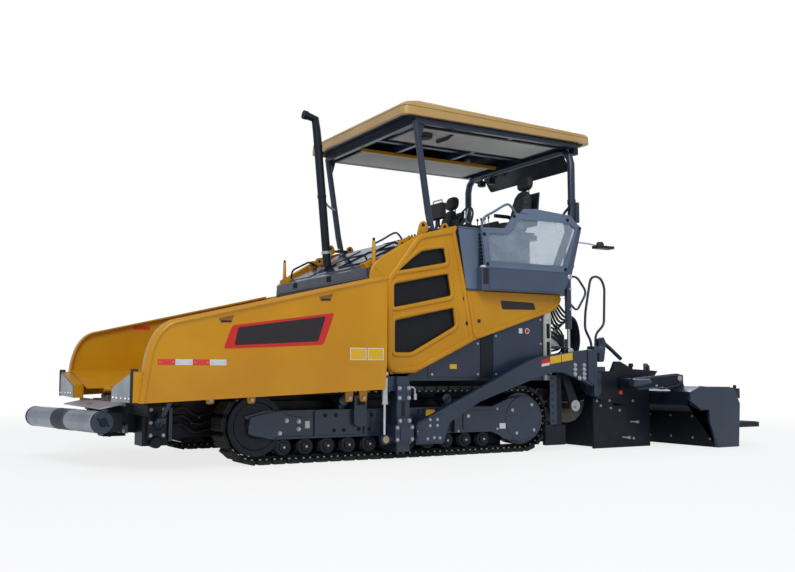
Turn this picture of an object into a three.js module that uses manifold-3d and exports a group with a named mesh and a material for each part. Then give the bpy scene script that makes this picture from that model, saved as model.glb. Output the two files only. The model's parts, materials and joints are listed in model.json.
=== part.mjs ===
// Tracked asphalt paver. Millimetres, +X forward, +Y to the machine's left, +Z up.
// Every x below counts from the front of the side marker on the hopper, and frameShift
// brings the middle of the machine's length to x = 0 at the end.
import * as THREE from "three";
import { mergeVertices } from "three/addons/utils/BufferGeometryUtils.js";
import Module from "manifold-3d";

const wasm = await Module();
wasm.setup();

// Driving sizes
const frameShift = 3402.25;
const seatGap = 0.3;
const moveGap = 6;
const joinDepth = 10;
const roundSegments = 32;

const paints = {
  amber: { color: 0xc8921a, roughness: 0.4, metalness: 0.1 },
  steelBlue: { color: 0x3b4654, roughness: 0.5, metalness: 0.3 },
  nearBlack: { color: 0x15181d, roughness: 0.7, metalness: 0.2 },
  paleGrey: { color: 0x8d949b, roughness: 0.4, metalness: 0.3 },
  stainless: { color: 0xc9ccd0, roughness: 0.25, metalness: 1 },
  wornSteel: { color: 0x6e6a64, roughness: 0.5, metalness: 0.8 },
  glass: { color: 0xcfd9dd, roughness: 0.05, metalness: 0 },
  leather: { color: 0x1b1c1f, roughness: 0.8, metalness: 0 },
};

const paver = new THREE.Group();
paver.position.x = frameShift;

// Joining and cutting
function toManifold(geometry) {
  const bare = geometry.clone();
  bare.deleteAttribute("normal");
  bare.deleteAttribute("uv");
  const merged = mergeVertices(bare, 1e-3);
  const vertProperties = new Float32Array(merged.attributes.position.array);
  const triVerts = new Uint32Array(merged.index.array);
  return new wasm.Manifold(new wasm.Mesh({ numProp: 3, vertProperties, triVerts }));
}

function toGeometry(manifold) {
  const mesh = manifold.getMesh();
  const geometry = new THREE.BufferGeometry();
  geometry.setAttribute("position", new THREE.BufferAttribute(mesh.vertProperties, 3));
  geometry.setIndex(new THREE.BufferAttribute(mesh.triVerts, 1));
  geometry.computeVertexNormals();
  return geometry;
}

function join(...geometries) {
  return toGeometry(geometries.map(toManifold).reduce((sum, next) => sum.add(next)));
}

function cut(geometry, ...tools) {
  return toGeometry(tools.map(toManifold).reduce((rest, next) => rest.subtract(next), toManifold(geometry)));
}

function common(first, second) {
  return toGeometry(toManifold(first).intersect(toManifold(second)));
}

// Basic shapes, each placed by its limits
function block(x0, x1, y0, y1, z0, z1) {
  const geometry = new THREE.BoxGeometry(Math.abs(x1 - x0), Math.abs(y1 - y0), Math.abs(z1 - z0));
  return geometry.translate((x0 + x1) / 2, (y0 + y1) / 2, (z0 + z1) / 2);
}

function outlineShape(points, holes) {
  const shape = new THREE.Shape(points.map(([u, v]) => new THREE.Vector2(u, v)));
  shape.holes = holes.map((hole) => new THREE.Path(hole.map(([u, v]) => new THREE.Vector2(u, v))));
  return shape;
}

// A plate drawn in x and z, between two y values
function sidePlate(points, y0, y1, holes = []) {
  const depth = Math.abs(y1 - y0);
  const geometry = new THREE.ExtrudeGeometry(outlineShape(points, holes), { depth, bevelEnabled: false });
  return geometry.rotateX(Math.PI / 2).translate(0, Math.max(y0, y1), 0);
}

// A plate drawn in y and z, between two x values
function crossPlate(points, x0, x1, holes = []) {
  const depth = Math.abs(x1 - x0);
  const geometry = new THREE.ExtrudeGeometry(outlineShape(points, holes), { depth, bevelEnabled: false });
  return geometry.rotateX(Math.PI / 2).rotateZ(Math.PI / 2).translate(Math.min(x0, x1), 0, 0);
}

// A plate drawn in x and y, between two z values
function flatPlate(points, z0, z1) {
  const depth = Math.abs(z1 - z0);
  const geometry = new THREE.ExtrudeGeometry(outlineShape(points, []), { depth, bevelEnabled: false });
  return geometry.translate(0, 0, Math.min(z0, z1));
}

// Round bars along each axis
function barY(x, y0, y1, z, radius, segments = roundSegments) {
  const geometry = new THREE.CylinderGeometry(radius, radius, Math.abs(y1 - y0), segments);
  return geometry.translate(x, (y0 + y1) / 2, z);
}

function barX(x0, x1, y, z, radius, segments = roundSegments) {
  const geometry = new THREE.CylinderGeometry(radius, radius, Math.abs(x1 - x0), segments);
  return geometry.rotateZ(Math.PI / 2).translate((x0 + x1) / 2, y, z);
}

function barZ(x, y, z0, z1, radius, segments = roundSegments) {
  const geometry = new THREE.CylinderGeometry(radius, radius, Math.abs(z1 - z0), segments);
  return geometry.rotateX(Math.PI / 2).translate(x, y, (z0 + z1) / 2);
}

// A round tube along straight runs with rounded corners
function bentTube(points, radius, cornerRadius, sides = 12) {
  const corners = points.map((point) => new THREE.Vector3(...point));
  const path = new THREE.CurvePath();
  let start = corners[0];
  for (let i = 1; i < corners.length - 1; i += 1) {
    const before = corners[i].clone().add(start.clone().sub(corners[i]).setLength(cornerRadius));
    const after = corners[i].clone().add(corners[i + 1].clone().sub(corners[i]).setLength(cornerRadius));
    path.add(new THREE.LineCurve3(start, before));
    path.add(new THREE.QuadraticBezierCurve3(before, corners[i], after));
    start = after;
  }
  path.add(new THREE.LineCurve3(start, corners[corners.length - 1]));
  const section = new THREE.Shape();
  section.absarc(0, 0, radius, 0, 2 * Math.PI);
  const steps = Math.max(1, 12 * (corners.length - 2));
  const options = { extrudePath: path, steps, curveSegments: sides, bevelEnabled: false };
  return new THREE.ExtrudeGeometry(section, options);
}

// A barrel closed at its top, with a bore for its rod, hanging down from z = 0
function boredBarrel(length, radius, boreRadius, capThickness) {
  const profile = [
    [0, 0],
    [radius, 0],
    [radius, -length],
    [boreRadius, -length],
    [boreRadius, -capThickness],
    [0, -capThickness],
  ];
  const points = profile.reverse().map(([r, z]) => new THREE.Vector2(r, z));
  return new THREE.LatheGeometry(points, roundSegments).rotateX(Math.PI / 2);
}

function add(name, geometry, paint, parent = paver) {
  const mesh = new THREE.Mesh(geometry, new THREE.MeshStandardMaterial(paints[paint]));
  mesh.name = name;
  parent.add(mesh);
  return mesh;
}

const sides = [
  { tag: "left", s: 1 },
  { tag: "right", s: -1 },
];

// Tracks: one fixed loop each side, with its frame, rollers, idler, sprocket and cover
const track = {
  sprocketX: -4290,
  idlerX: -1100,
  outerY: 1240,
  width: 300,
  outerRadius: 372,
  shoeHeight: 46,
  shoeGap: 14,
  linkThickness: 34,
  shoeCount: 55,
  arcSteps: 14,
};
const trackLoop = {
  linkRadius: track.outerRadius - track.shoeHeight,
  innerRadius: track.outerRadius - track.shoeHeight - track.linkThickness,
  straight: track.idlerX - track.sprocketX,
  innerY: track.outerY - track.width,
};

// Point of the loop at a distance along it and a height off the links
function loopPoint(distance, height) {
  const radius = trackLoop.linkRadius;
  const half = Math.PI * radius;
  const total = 2 * (trackLoop.straight + half);
  const along = ((distance % total) + total) % total;
  const reach = radius + height;
  if (along < trackLoop.straight) {
    return [track.idlerX - along, track.outerRadius - reach];
  }
  if (along < trackLoop.straight + half) {
    const angle = -Math.PI / 2 - (along - trackLoop.straight) / radius;
    return [track.sprocketX + reach * Math.cos(angle), track.outerRadius + reach * Math.sin(angle)];
  }
  if (along < 2 * trackLoop.straight + half) {
    return [track.sprocketX + along - trackLoop.straight - half, track.outerRadius + reach];
  }
  const angle = Math.PI / 2 - (along - 2 * trackLoop.straight - half) / radius;
  return [track.idlerX + reach * Math.cos(angle), track.outerRadius + reach * Math.sin(angle)];
}

function trackOutline() {
  const pitch = (2 * (trackLoop.straight + Math.PI * trackLoop.linkRadius)) / track.shoeCount;
  const points = [];
  for (let i = 0; i < track.shoeCount; i += 1) {
    const from = i * pitch + track.shoeGap / 2;
    const to = (i + 1) * pitch - track.shoeGap / 2;
    points.push(loopPoint(from, 0), loopPoint(from, track.shoeHeight));
    points.push(loopPoint(to, track.shoeHeight), loopPoint(to, 0));
  }
  return points;
}

function stadium(radius, steps) {
  const points = [];
  for (let i = 0; i <= steps; i += 1) {
    const angle = -Math.PI / 2 + (Math.PI * i) / steps;
    points.push([track.idlerX + radius * Math.cos(angle), track.outerRadius + radius * Math.sin(angle)]);
  }
  for (let i = 0; i <= steps; i += 1) {
    const angle = Math.PI / 2 + (Math.PI * i) / steps;
    points.push([track.sprocketX + radius * Math.cos(angle), track.outerRadius + radius * Math.sin(angle)]);
  }
  return points;
}

const trackFrame = {
  rollerCount: 11,
  rollerRadius: 82,
  rollerInnerY: 985,
  rollerOuterY: 1195,
  firstRollerX: -3760,
  lastRollerX: -1379,
  carrierXs: [-2050, -3300],
  carrierRadius: 55,
  carrierPostHalf: 30,
  carrierPostY: [1050, 1130],
  wheelY: [1000, 1180],
  beamLow: track.outerRadius - 132,
  beamHigh: track.outerRadius + 148,
  beamNoseX: -970,
  beamNoseZ: track.outerRadius + 94,
  beamFrontX: -1180,
  beamFrontLowX: -1270,
  beamRearX: -3900,
  plateInnerY: 1010,
  plateOuterY: 1205,
  hubRadius: 150,
  hubOuterY: 1215,
  crossXs: [[-3800, -3500], [-1900, -1600]],
  crossLow: track.outerRadius - 72,
  crossHigh: track.outerRadius + 108,
  coverInnerY: 1190,
  coverOuterY: 1262,
  coverRadius: trackLoop.innerRadius - 42,
  coverFrontX: -3353,
  coverKneeX: -3842,
  coverTaperX: -4075,
  coverStep: 4,
  chassisY: 880,
};

function trackFrameGeometry(s) {
  const low = track.outerRadius - trackLoop.innerRadius + seatGap;
  const high = track.outerRadius + trackLoop.innerRadius - seatGap;
  const wheelRadius = trackLoop.innerRadius * Math.cos(Math.PI / (2 * track.arcSteps)) - seatGap;
  const [wheelInner, wheelOuter] = trackFrame.wheelY;
  const chassisSide = s * (trackFrame.chassisY + seatGap);
  const beam = [
    [trackFrame.beamNoseX, trackFrame.beamNoseZ],
    [trackFrame.beamFrontLowX, trackFrame.beamLow],
    [trackFrame.beamRearX, trackFrame.beamLow],
    [trackFrame.beamRearX, trackFrame.beamHigh],
    [trackFrame.beamFrontX, trackFrame.beamHigh],
  ];
  const pieces = [
    sidePlate(beam, s * trackFrame.plateInnerY, s * trackFrame.plateOuterY),
    barY(track.idlerX, s * wheelInner, s * wheelOuter, track.outerRadius, wheelRadius),
    barY(track.sprocketX, s * wheelInner, s * wheelOuter, track.outerRadius, wheelRadius),
    barY(track.sprocketX, chassisSide, s * trackFrame.hubOuterY, track.outerRadius, trackFrame.hubRadius),
  ];
  const plateInner = s * (trackFrame.plateInnerY + joinDepth);
  for (const [x0, x1] of trackFrame.crossXs) {
    pieces.push(block(x0, x1, chassisSide, plateInner, trackFrame.crossLow, trackFrame.crossHigh));
  }
  const { rollerRadius, rollerInnerY, rollerOuterY } = trackFrame;
  const pitch = (trackFrame.lastRollerX - trackFrame.firstRollerX) / (trackFrame.rollerCount - 1);
  for (let i = 0; i < trackFrame.rollerCount; i += 1) {
    const x = trackFrame.firstRollerX + i * pitch;
    pieces.push(barY(x, s * rollerInnerY, s * rollerOuterY, low + rollerRadius, rollerRadius, 16));
  }
  const [postInner, postOuter] = trackFrame.carrierPostY;
  const half = trackFrame.carrierPostHalf;
  for (const x of trackFrame.carrierXs) {
    const z = high - trackFrame.carrierRadius;
    pieces.push(barY(x, s * wheelInner, s * wheelOuter, z, trackFrame.carrierRadius, 16));
    pieces.push(block(x - half, x + half, s * postInner, s * postOuter, trackFrame.beamHigh - joinDepth, z));
  }
  pieces.push(sprocketCover(s));
  return join(...pieces);
}

// A disc over the sprocket with a box that tapers into it
function sprocketCover(s) {
  const { coverInnerY, coverOuterY, coverRadius } = trackFrame;
  const disc = barY(track.sprocketX, s * coverInnerY, s * coverOuterY, track.outerRadius, coverRadius, 40);
  const box = [
    [trackFrame.coverFrontX, trackFrame.beamLow + 5],
    [trackFrame.coverKneeX, trackFrame.beamLow + 3],
    [trackFrame.coverTaperX, track.outerRadius - 0.9 * coverRadius],
    [track.sprocketX, track.outerRadius - coverRadius],
    [track.sprocketX, track.outerRadius + coverRadius],
    [trackFrame.coverTaperX, track.outerRadius + 0.9 * coverRadius],
    [trackFrame.coverKneeX, trackFrame.beamHigh - 6],
    [trackFrame.coverFrontX, trackFrame.beamHigh - 6],
  ];
  return join(disc, sidePlate(box, s * coverInnerY, s * (coverOuterY - trackFrame.coverStep)));
}

for (const { tag, s } of sides) {
  const hollow = stadium(trackLoop.innerRadius, track.arcSteps);
  const loop = sidePlate(trackOutline(), s * trackLoop.innerY, s * track.outerY, [hollow]);
  add(`track_${tag}`, loop, "nearBlack");
  add(`track_frame_${tag}`, trackFrameGeometry(s), "steelBlue");
}

// Hopper and chassis
const hopper = {
  halfWidth: 1600,
  wall: 14,
  rearX: -2300,
  frontX: 142,
  lowRearZ: 722,
  lowFrontZ: 619,
  hingeY: 680,
  hingeZ: 700,
  hingeRadius: 28,
  floorEdgeZ: 900,
  floorBendZ: 876,
  floorBendInset: 150,
  floorThickness: 14,
  flangeWidth: 70,
  topSlope: 0.2355,
  topFrontX: -195,
  topFrontZ: 1370,
  noseX: 92,
  noseZ: 1330,
  chinX: 118,
  chinZ: 823,
  backInnerY: 1180,
  backLow: 800,
  apronInnerY: 865,
  apronLow: 612,
  apronRearX: 90,
  apronFrontX: 195,
};
const knuckle = { length: 100, rearInset: 40, frontInset: 302, halfWidth: 20, gap: 0.5 };
const bulkhead = { frontX: hopper.rearX - 10, thickness: 20, halfWidth: 1195, low: 800 };
const tunnel = { halfWidth: 650, wallOuter: 719.7, low: 600, high: 1000, roofTop: 1040, rearX: -4740 };
const chassis = {
  low: 250,
  frontX: 60,
  noseLow: 315,
  shelfRearX: -80,
  shelfLow: 500,
  bracketLow: 200,
  bracketRearX: -320,
  bracketOuterY: 900,
  waistX: -900,
  innerY: 640,
  railInnerY: 630,
  railLow: 480,
};
const knuckleMiddleX = (hopper.rearX + hopper.frontX) / 2 + 30;
const hingeKnuckles = [
  hopper.rearX + knuckle.rearInset,
  knuckleMiddleX,
  hopper.frontX - knuckle.frontInset - knuckle.length,
].map((x) => [x, x + knuckle.length]);

// The beam of the push rollers turns about an upright pin
const pushBeam = {
  pivotX: 165,
  pivotZ: 430,
  pinRadius: 70,
  restTurn: THREE.MathUtils.degToRad(10.5),
  barRearX: 85,
  barFrontX: 165,
  barHalfWidth: 850,
  barLow: -90,
  barHigh: 85,
  rollerX: 277,
  rollerRadius: 103,
  rollerInner: 135,
  rollerOuter: 820,
  sideGap: 5,
  collar: 2,
  armHalfHeight: 80,
  shaftRadius: 30,
  tongueHalfWidth: 90,
  tongueThickness: 24.5,
};

function chassisGeometry() {
  const tongueTop = pushBeam.pivotZ + pushBeam.tongueHalfWidth + seatGap + 0.2;
  const tongueLow = pushBeam.pivotZ - pushBeam.tongueHalfWidth - seatGap - 0.2;
  const tongueRear = chassis.frontX - joinDepth;
  const tongueFront = pushBeam.pivotX + pushBeam.pinRadius;
  const tongueY = pushBeam.tongueHalfWidth;
  const tongueDepth = pushBeam.tongueThickness;
  const tunnelFront = bulkhead.frontX - bulkhead.thickness;
  const { frontX, waistX, bracketRearX, innerY } = chassis;
  const wideY = trackFrame.chassisY;
  const tunnelY = tunnel.wallOuter;
  const pieces = [
    block(tunnel.rearX, waistX, -wideY, wideY, chassis.low, tunnel.low),
    block(waistX - 1, bracketRearX, -innerY, innerY, chassis.low, tunnel.low),
    block(bracketRearX - 1, frontX, -innerY, innerY, chassis.noseLow, tunnel.low),
    block(chassis.shelfRearX - 1, frontX, -tunnelY, tunnelY, chassis.shelfLow, tunnel.low),
    block(tunnel.rearX, tunnelFront, -tunnelY, tunnelY, tunnel.low - joinDepth, tunnel.roofTop),
    block(tongueRear, tongueFront, -tongueY, tongueY, tongueTop, tongueTop + tongueDepth),
    block(tongueRear, tongueFront, -tongueY, tongueY, tongueLow - tongueDepth, tongueLow),
  ];
  const railTop = hopper.hingeZ - hopper.hingeRadius - moveGap;
  const railRear = hopper.rearX - 15;
  for (const s of [1, -1]) {
    pieces.push(block(
      chassis.bracketRearX, chassis.shelfRearX, s * (chassis.innerY - 1), s * chassis.bracketOuterY,
      chassis.bracketLow, tunnel.low));
    pieces.push(block(
      railRear, chassis.shelfRearX, s * chassis.railInnerY, s * tunnelY, chassis.railLow, tunnel.low));
    pieces.push(block(
      railRear, chassis.shelfRearX, s * tunnel.halfWidth, s * tunnel.wallOuter, tunnel.low - 1, railTop));
    const inner = s * (hopper.hingeY - knuckle.halfWidth);
    const outer = s * (hopper.hingeY + knuckle.halfWidth);
    for (const [x0, x1] of hingeKnuckles) {
      pieces.push(barX(x0, x1, s * hopper.hingeY, hopper.hingeZ, hopper.hingeRadius, 20));
      pieces.push(block(x0, x1, inner, outer, tunnel.low - joinDepth, hopper.hingeZ));
    }
  }
  const passage = block(
    tunnel.rearX - joinDepth, bulkhead.frontX + joinDepth, -tunnel.halfWidth, tunnel.halfWidth,
    tunnel.low, tunnel.high);
  return cut(join(...pieces), passage);
}
add("chassis_frame", chassisGeometry(), "nearBlack");

const beamGroup = new THREE.Group();
beamGroup.position.set(pushBeam.pivotX, 0, pushBeam.pivotZ);
beamGroup.rotation.z = pushBeam.restTurn;
paver.add(beamGroup);

function pushBeamGeometry() {
  const { barRearX, barFrontX, barHalfWidth, rollerX, rollerOuter, rollerInner, armHalfHeight } = pushBeam;
  const capRadius = pushBeam.rollerRadius + pushBeam.collar;
  const armRear = barFrontX - joinDepth;
  const pieces = [
    block(barRearX, barFrontX, -barHalfWidth, barHalfWidth, pushBeam.barLow, pushBeam.barHigh),
    barZ(0, 0, -pushBeam.tongueHalfWidth, pushBeam.tongueHalfWidth, pushBeam.pinRadius),
    block(0, barRearX + joinDepth, -pushBeam.pinRadius, pushBeam.pinRadius, -armHalfHeight, armHalfHeight),
    barY(rollerX, -rollerInner, rollerInner, 0, capRadius),
    block(armRear, rollerX, -rollerInner, rollerInner, -armHalfHeight, armHalfHeight),
  ];
  for (const s of [1, -1]) {
    pieces.push(barY(rollerX, s * rollerOuter, s * barHalfWidth, 0, capRadius));
    pieces.push(block(armRear, rollerX, s * rollerOuter, s * barHalfWidth, -armHalfHeight, armHalfHeight));
  }
  return join(...pieces);
}

function rollerGeometry(s) {
  const { rollerInner, rollerOuter, sideGap } = pushBeam;
  return join(
    barY(0, s * (rollerInner + sideGap), s * (rollerOuter - sideGap), 0, pushBeam.rollerRadius, 40),
    barY(0, s * (rollerInner + seatGap), s * (rollerOuter - seatGap), 0, pushBeam.shaftRadius),
  );
}

add("push_beam", pushBeamGeometry(), "nearBlack", beamGroup);
for (const { tag, s } of sides) {
  const roller = add(`push_roller_${tag}`, rollerGeometry(s), "stainless", beamGroup);
  roller.position.x = pushBeam.rollerX;
}

// Conveyor floor with a middle rib and cross bars
const conveyor = {
  halfWidth: 640,
  rearX: tunnel.rearX - 60,
  frontX: chassis.frontX - 20,
  floorHeight: 16,
  ribHalfWidth: 30,
  ribHeight: 55,
  barPitch: 260,
  barHalfLength: 20,
  barInner: 45,
  barOuter: 600,
  barLow: 8,
  barHeight: 34,
};
function conveyorGeometry() {
  const low = tunnel.low + seatGap;
  const { rearX, frontX, halfWidth, ribHalfWidth, barHalfLength } = conveyor;
  const pieces = [
    block(rearX, frontX, -halfWidth, halfWidth, low, low + conveyor.floorHeight),
    block(rearX, frontX, -ribHalfWidth, ribHalfWidth, low, low + conveyor.ribHeight),
  ];
  for (let x = frontX - 100; x > tunnel.rearX; x -= conveyor.barPitch) {
    for (const s of [1, -1]) {
      pieces.push(block(
        x - barHalfLength, x + barHalfLength, s * conveyor.barInner, s * conveyor.barOuter,
        low + conveyor.barLow, low + conveyor.barHeight));
    }
  }
  return join(...pieces);
}
add("conveyor_floor", conveyorGeometry(), "wornSteel");

// Wings: outer wall with a rolled rim, sloping floor, part of a rear wall and hinge barrels
function wingTop(x) {
  return hopper.topFrontZ + (hopper.topFrontX - x) * hopper.topSlope;
}

function wingOutline(inset) {
  const below = inset > 0 ? 40 : 0;
  const nose = new THREE.QuadraticBezierCurve(
    new THREE.Vector2(hopper.topFrontX, hopper.topFrontZ - inset),
    new THREE.Vector2(hopper.noseX - inset, hopper.noseZ - inset),
    new THREE.Vector2(hopper.chinX - inset, hopper.chinZ),
  );
  const front = nose.getPoints(10).map((point) => [point.x, point.y]);
  const rear = inset > 0 ? hopper.rearX - 20 : hopper.rearX;
  return [
    [rear, hopper.lowRearZ - below],
    [rear, wingTop(hopper.rearX) - inset],
    ...front,
    [hopper.frontX - inset, hopper.lowFrontZ - below],
  ];
}

function wingGeometry(s) {
  const outer = s * hopper.halfWidth;
  const inner = s * (hopper.halfWidth - hopper.wall);
  const rimInner = s * (hopper.halfWidth - hopper.flangeWidth);
  const hingeTop = hopper.hingeZ + hopper.hingeRadius;
  const bendY = hopper.halfWidth - hopper.floorBendInset;
  const thickness = hopper.floorThickness;
  const backTop = wingTop(hopper.rearX) - 21;
  const floorRise = (hopper.floorBendZ - hingeTop) / (bendY - hopper.hingeY);
  const apronTop = hingeTop + (hopper.apronInnerY - hopper.hingeY) * floorRise - thickness / 2;
  const wall = cut(
    sidePlate(wingOutline(0), rimInner, outer),
    sidePlate(wingOutline(16), rimInner - s * 5, inner),
  );
  const floorOutline = [
    [s * hopper.hingeY, hingeTop - thickness],
    [s * bendY, hopper.floorBendZ],
    [inner + s * 3, hopper.floorEdgeZ],
    [inner + s * 3, hopper.floorEdgeZ + thickness + 4],
    [s * (bendY - 6), hopper.floorBendZ + thickness],
    [s * hopper.hingeY, hingeTop],
  ];
  const backOutline = [
    [s * hopper.backInnerY, hopper.backLow],
    [inner + s * 5, hopper.floorEdgeZ + 6],
    [inner + s * 5, backTop],
    [s * hopper.backInnerY, backTop],
  ];
  const apronOutline = [
    [s * hopper.apronInnerY, hopper.apronLow],
    [s * hopper.apronInnerY, apronTop],
    [inner + s * 4, hopper.floorEdgeZ - 5],
    [inner + s * 4, hopper.apronLow + 15],
  ];
  const pieces = [
    wall,
    crossPlate(apronOutline, hopper.apronRearX, hopper.apronFrontX),
    crossPlate(floorOutline, hopper.rearX, hopper.frontX - 45),
    crossPlate(backOutline, hopper.rearX, hopper.rearX + hopper.wall),
  ];
  const { gap } = knuckle;
  const starts = hingeKnuckles.map(([, x1]) => x1 + gap);
  const ends = [...hingeKnuckles.slice(1).map(([x0]) => x0 - gap), chassis.shelfRearX];
  starts.forEach((x0, i) => {
    pieces.push(barX(x0, ends[i], s * hopper.hingeY, hopper.hingeZ, hopper.hingeRadius, 20));
  });
  const reliefInner = s * (hopper.hingeY - 60);
  const reliefOuter = s * (hopper.hingeY + 60);
  const reliefs = hingeKnuckles.map(([x0, x1]) => block(
    x0 - gap, x1 + gap, reliefInner, reliefOuter, hopper.hingeZ - 200, hopper.hingeZ + 80));
  return cut(join(...pieces), ...reliefs);
}

// Bright guard plate at the front corner of each wing
const deflector = {
  thickness: 12,
  outerY: 1560,
  shoulderY: 1480,
  neckY: 880,
  low: 612,
  neckZ: 742,
  shoulderZ: 872,
  outerZ: 860,
};
function deflectorGeometry(s) {
  const outline = [
    [s * hopper.apronInnerY, deflector.low],
    [s * deflector.neckY, deflector.neckZ],
    [s * deflector.shoulderY, deflector.shoulderZ],
    [s * (deflector.outerY - 15), deflector.outerZ],
    [s * deflector.outerY, deflector.low + 15],
  ];
  const rear = hopper.apronFrontX + seatGap;
  return crossPlate(outline, rear, rear + deflector.thickness);
}

for (const { tag, s } of sides) {
  add(`hopper_wing_${tag}`, wingGeometry(s), "amber");
  add(`wing_deflector_${tag}`, deflectorGeometry(s), "stainless");
}

// Steel lip between the deflectors, over the push rollers
const lip = {
  halfWidth: 840,
  rearX: chassis.frontX + seatGap,
  bendX: chassis.frontX + 22,
  frontX: 300,
  rearZ: 600,
  frontZ: 556,
  thickness: 12,
  skirt: 30,
};
function lipGeometry() {
  const outline = [
    [lip.rearX, lip.rearZ - lip.skirt],
    [lip.bendX, lip.rearZ - lip.thickness],
    [lip.frontX, lip.frontZ - lip.thickness],
    [lip.frontX, lip.frontZ],
    [lip.bendX, lip.rearZ],
    [lip.rearX, lip.rearZ],
  ];
  return sidePlate(outline, -lip.halfWidth, lip.halfWidth);
}
add("front_lip", lipGeometry(), "stainless");

// Engine bay: back wall of the hopper, engine, hood, doors with grilles
const hood = {
  frontX: bulkhead.frontX,
  frontZ: 1980,
  frontDrop: 90,
  midX: -3180,
  midZ: 2430,
  rearX: -3423,
  rearZ: 2490,
  thickness: 16,
  halfWidth: 1210,
};
const door = {
  outerY: 1250,
  innerY: 1215,
  hingeX: bulkhead.frontX - 35,
  hingeRadius: 14,
  strapWidth: 25,
  strapRearX: -2530,
  grilleThickness: 4,
  hingeZs: [1000, 1700],
  hingeHeight: 60,
  earHeight: 25,
};

function doorEars(s) {
  return door.hingeZs.flatMap((z) => [1, -1].map((side) => {
    const near = z + side * (door.hingeHeight / 2 + seatGap);
    const far = near + side * door.earHeight;
    const rear = bulkhead.frontX - bulkhead.thickness;
    const inner = s * (bulkhead.halfWidth - 5);
    const arm = block(rear, door.hingeX, inner, s * (door.outerY + joinDepth), near, far);
    return join(arm, barZ(door.hingeX, s * door.outerY, near, far, door.hingeRadius, 16));
  }));
}

function bulkheadGeometry() {
  const width = bulkhead.halfWidth;
  const tunnelSide = tunnel.wallOuter + seatGap;
  const tunnelRoof = tunnel.roofTop + seatGap;
  const top = hood.frontZ - hood.frontDrop - hood.thickness;
  const outline = [
    [-width, bulkhead.low],
    [-tunnelSide, bulkhead.low],
    [-tunnelSide, tunnelRoof],
    [tunnelSide, tunnelRoof],
    [tunnelSide, bulkhead.low],
    [width, bulkhead.low],
    [width, top],
    [-width, top],
  ];
  const plate = crossPlate(outline, bulkhead.frontX - bulkhead.thickness, bulkhead.frontX);
  return join(plate, ...doorEars(1), ...doorEars(-1));
}
add("hopper_back_wall", bulkheadGeometry(), "nearBlack");

const engine = { frontX: bulkhead.frontX - 140, rearX: -3250, halfWidth: 450, top: 1800 };
add(
  "engine_block",
  block(
    engine.rearX, engine.frontX, -engine.halfWidth, engine.halfWidth,
    tunnel.roofTop + seatGap, engine.top),
  "nearBlack",
);

// The hood's front slope, measured up the slope and out from its face
const slopeAngle = Math.atan2(hood.midZ - hood.frontZ, hood.frontX - hood.midX);
function onSlope(along, out) {
  return [
    hood.frontX - along * Math.cos(slopeAngle) + out * Math.sin(slopeAngle),
    hood.frontZ + along * Math.sin(slopeAngle) + out * Math.cos(slopeAngle),
  ];
}
function slopePlate(from, to, low, high, y0, y1) {
  return sidePlate([onSlope(from, low), onSlope(to, low), onSlope(to, high), onSlope(from, high)], y0, y1);
}
function hoodTop(x) {
  return hood.frontZ + (hood.frontX - x) * Math.tan(slopeAngle);
}

const hatch = {
  from: 80,
  to: 900,
  innerY: 40,
  outerY: 1000,
  thickness: 14,
  margin: 30,
  knuckleYs: [150, 450, 590, 890],
  knuckleWidth: 40,
  knuckleRadius: 10,
  hingeAlong: 913,
  hingeOut: 12,
};
function hatchKnuckles(owner) {
  const [x, z] = onSlope(hatch.hingeAlong, hatch.hingeOut);
  return hatch.knuckleYs.flatMap((y) => {
    const y0 = y + owner * (hatch.knuckleWidth + seatGap);
    const y1 = y0 + hatch.knuckleWidth;
    const arm = owner
      ? slopePlate(hatch.to - 1, hatch.hingeAlong, seatGap + 4, hatch.hingeOut + 6, y0, y1)
      : slopePlate(hatch.hingeAlong - 8, hatch.hingeAlong + 8, -1, hatch.hingeOut, y0, y1);
    return join(arm, barY(x, y0, y1, z, hatch.knuckleRadius, 16));
  });
}

function hoodGeometry() {
  const drop = hood.thickness;
  const outline = [
    [hood.frontX, hood.frontZ - hood.frontDrop - drop + seatGap],
    [hood.frontX, hood.frontZ],
    [hood.midX, hood.midZ],
    [hood.rearX, hood.rearZ],
    [hood.rearX, hood.rearZ - drop],
    [hood.midX, hood.midZ - drop],
    [hood.frontX - 30, hood.frontZ - drop],
    [hood.frontX - 30, hood.frontZ - hood.frontDrop - drop + seatGap],
  ];
  const sheet = sidePlate(outline, -hood.halfWidth, hood.halfWidth);
  const { margin } = hatch;
  const opening = slopePlate(
    hatch.from + margin, hatch.to - margin, -60, 60, hatch.innerY + margin, hatch.outerY - margin);
  return join(cut(sheet, opening), ...hatchKnuckles(0));
}

function hatchGeometry() {
  const lid = slopePlate(hatch.from, hatch.to, seatGap, hatch.thickness, hatch.innerY, hatch.outerY);
  return join(lid, ...hatchKnuckles(1));
}
add("engine_hood", hoodGeometry(), "steelBlue");
add("hood_hatch", hatchGeometry(), "steelBlue");

const doorOutline = [
  [-2560, 874],
  [-2520, 960],
  [-2520, 1880],
  [door.hingeX, 1990],
  [-2910, 2373],
  [-3375, 2463],
  [-3517, 1829],
  [-3610, 1236],
  [-2858, 884],
];
const doorWindows = [
  [
    [-2600, 1950],
    [-2946, 2190],
    [-3225, 2245],
    [-3260, 2085],
  ],
  [
    [-2600, 1820],
    [-3278, 1965],
    [-3320, 1725],
    [-2600, 1570],
  ],
  [
    [-2610, 1435],
    [-3345, 1595],
    [-3378, 1360],
    [-2835, 1100],
    [-2610, 1100],
  ],
];
const grilleOutline = [
  [-2560, 1050],
  [-2560, 1985],
  [-2930, 2240],
  [-3265, 2300],
  [-3440, 1330],
  [-2850, 1050],
];

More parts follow.
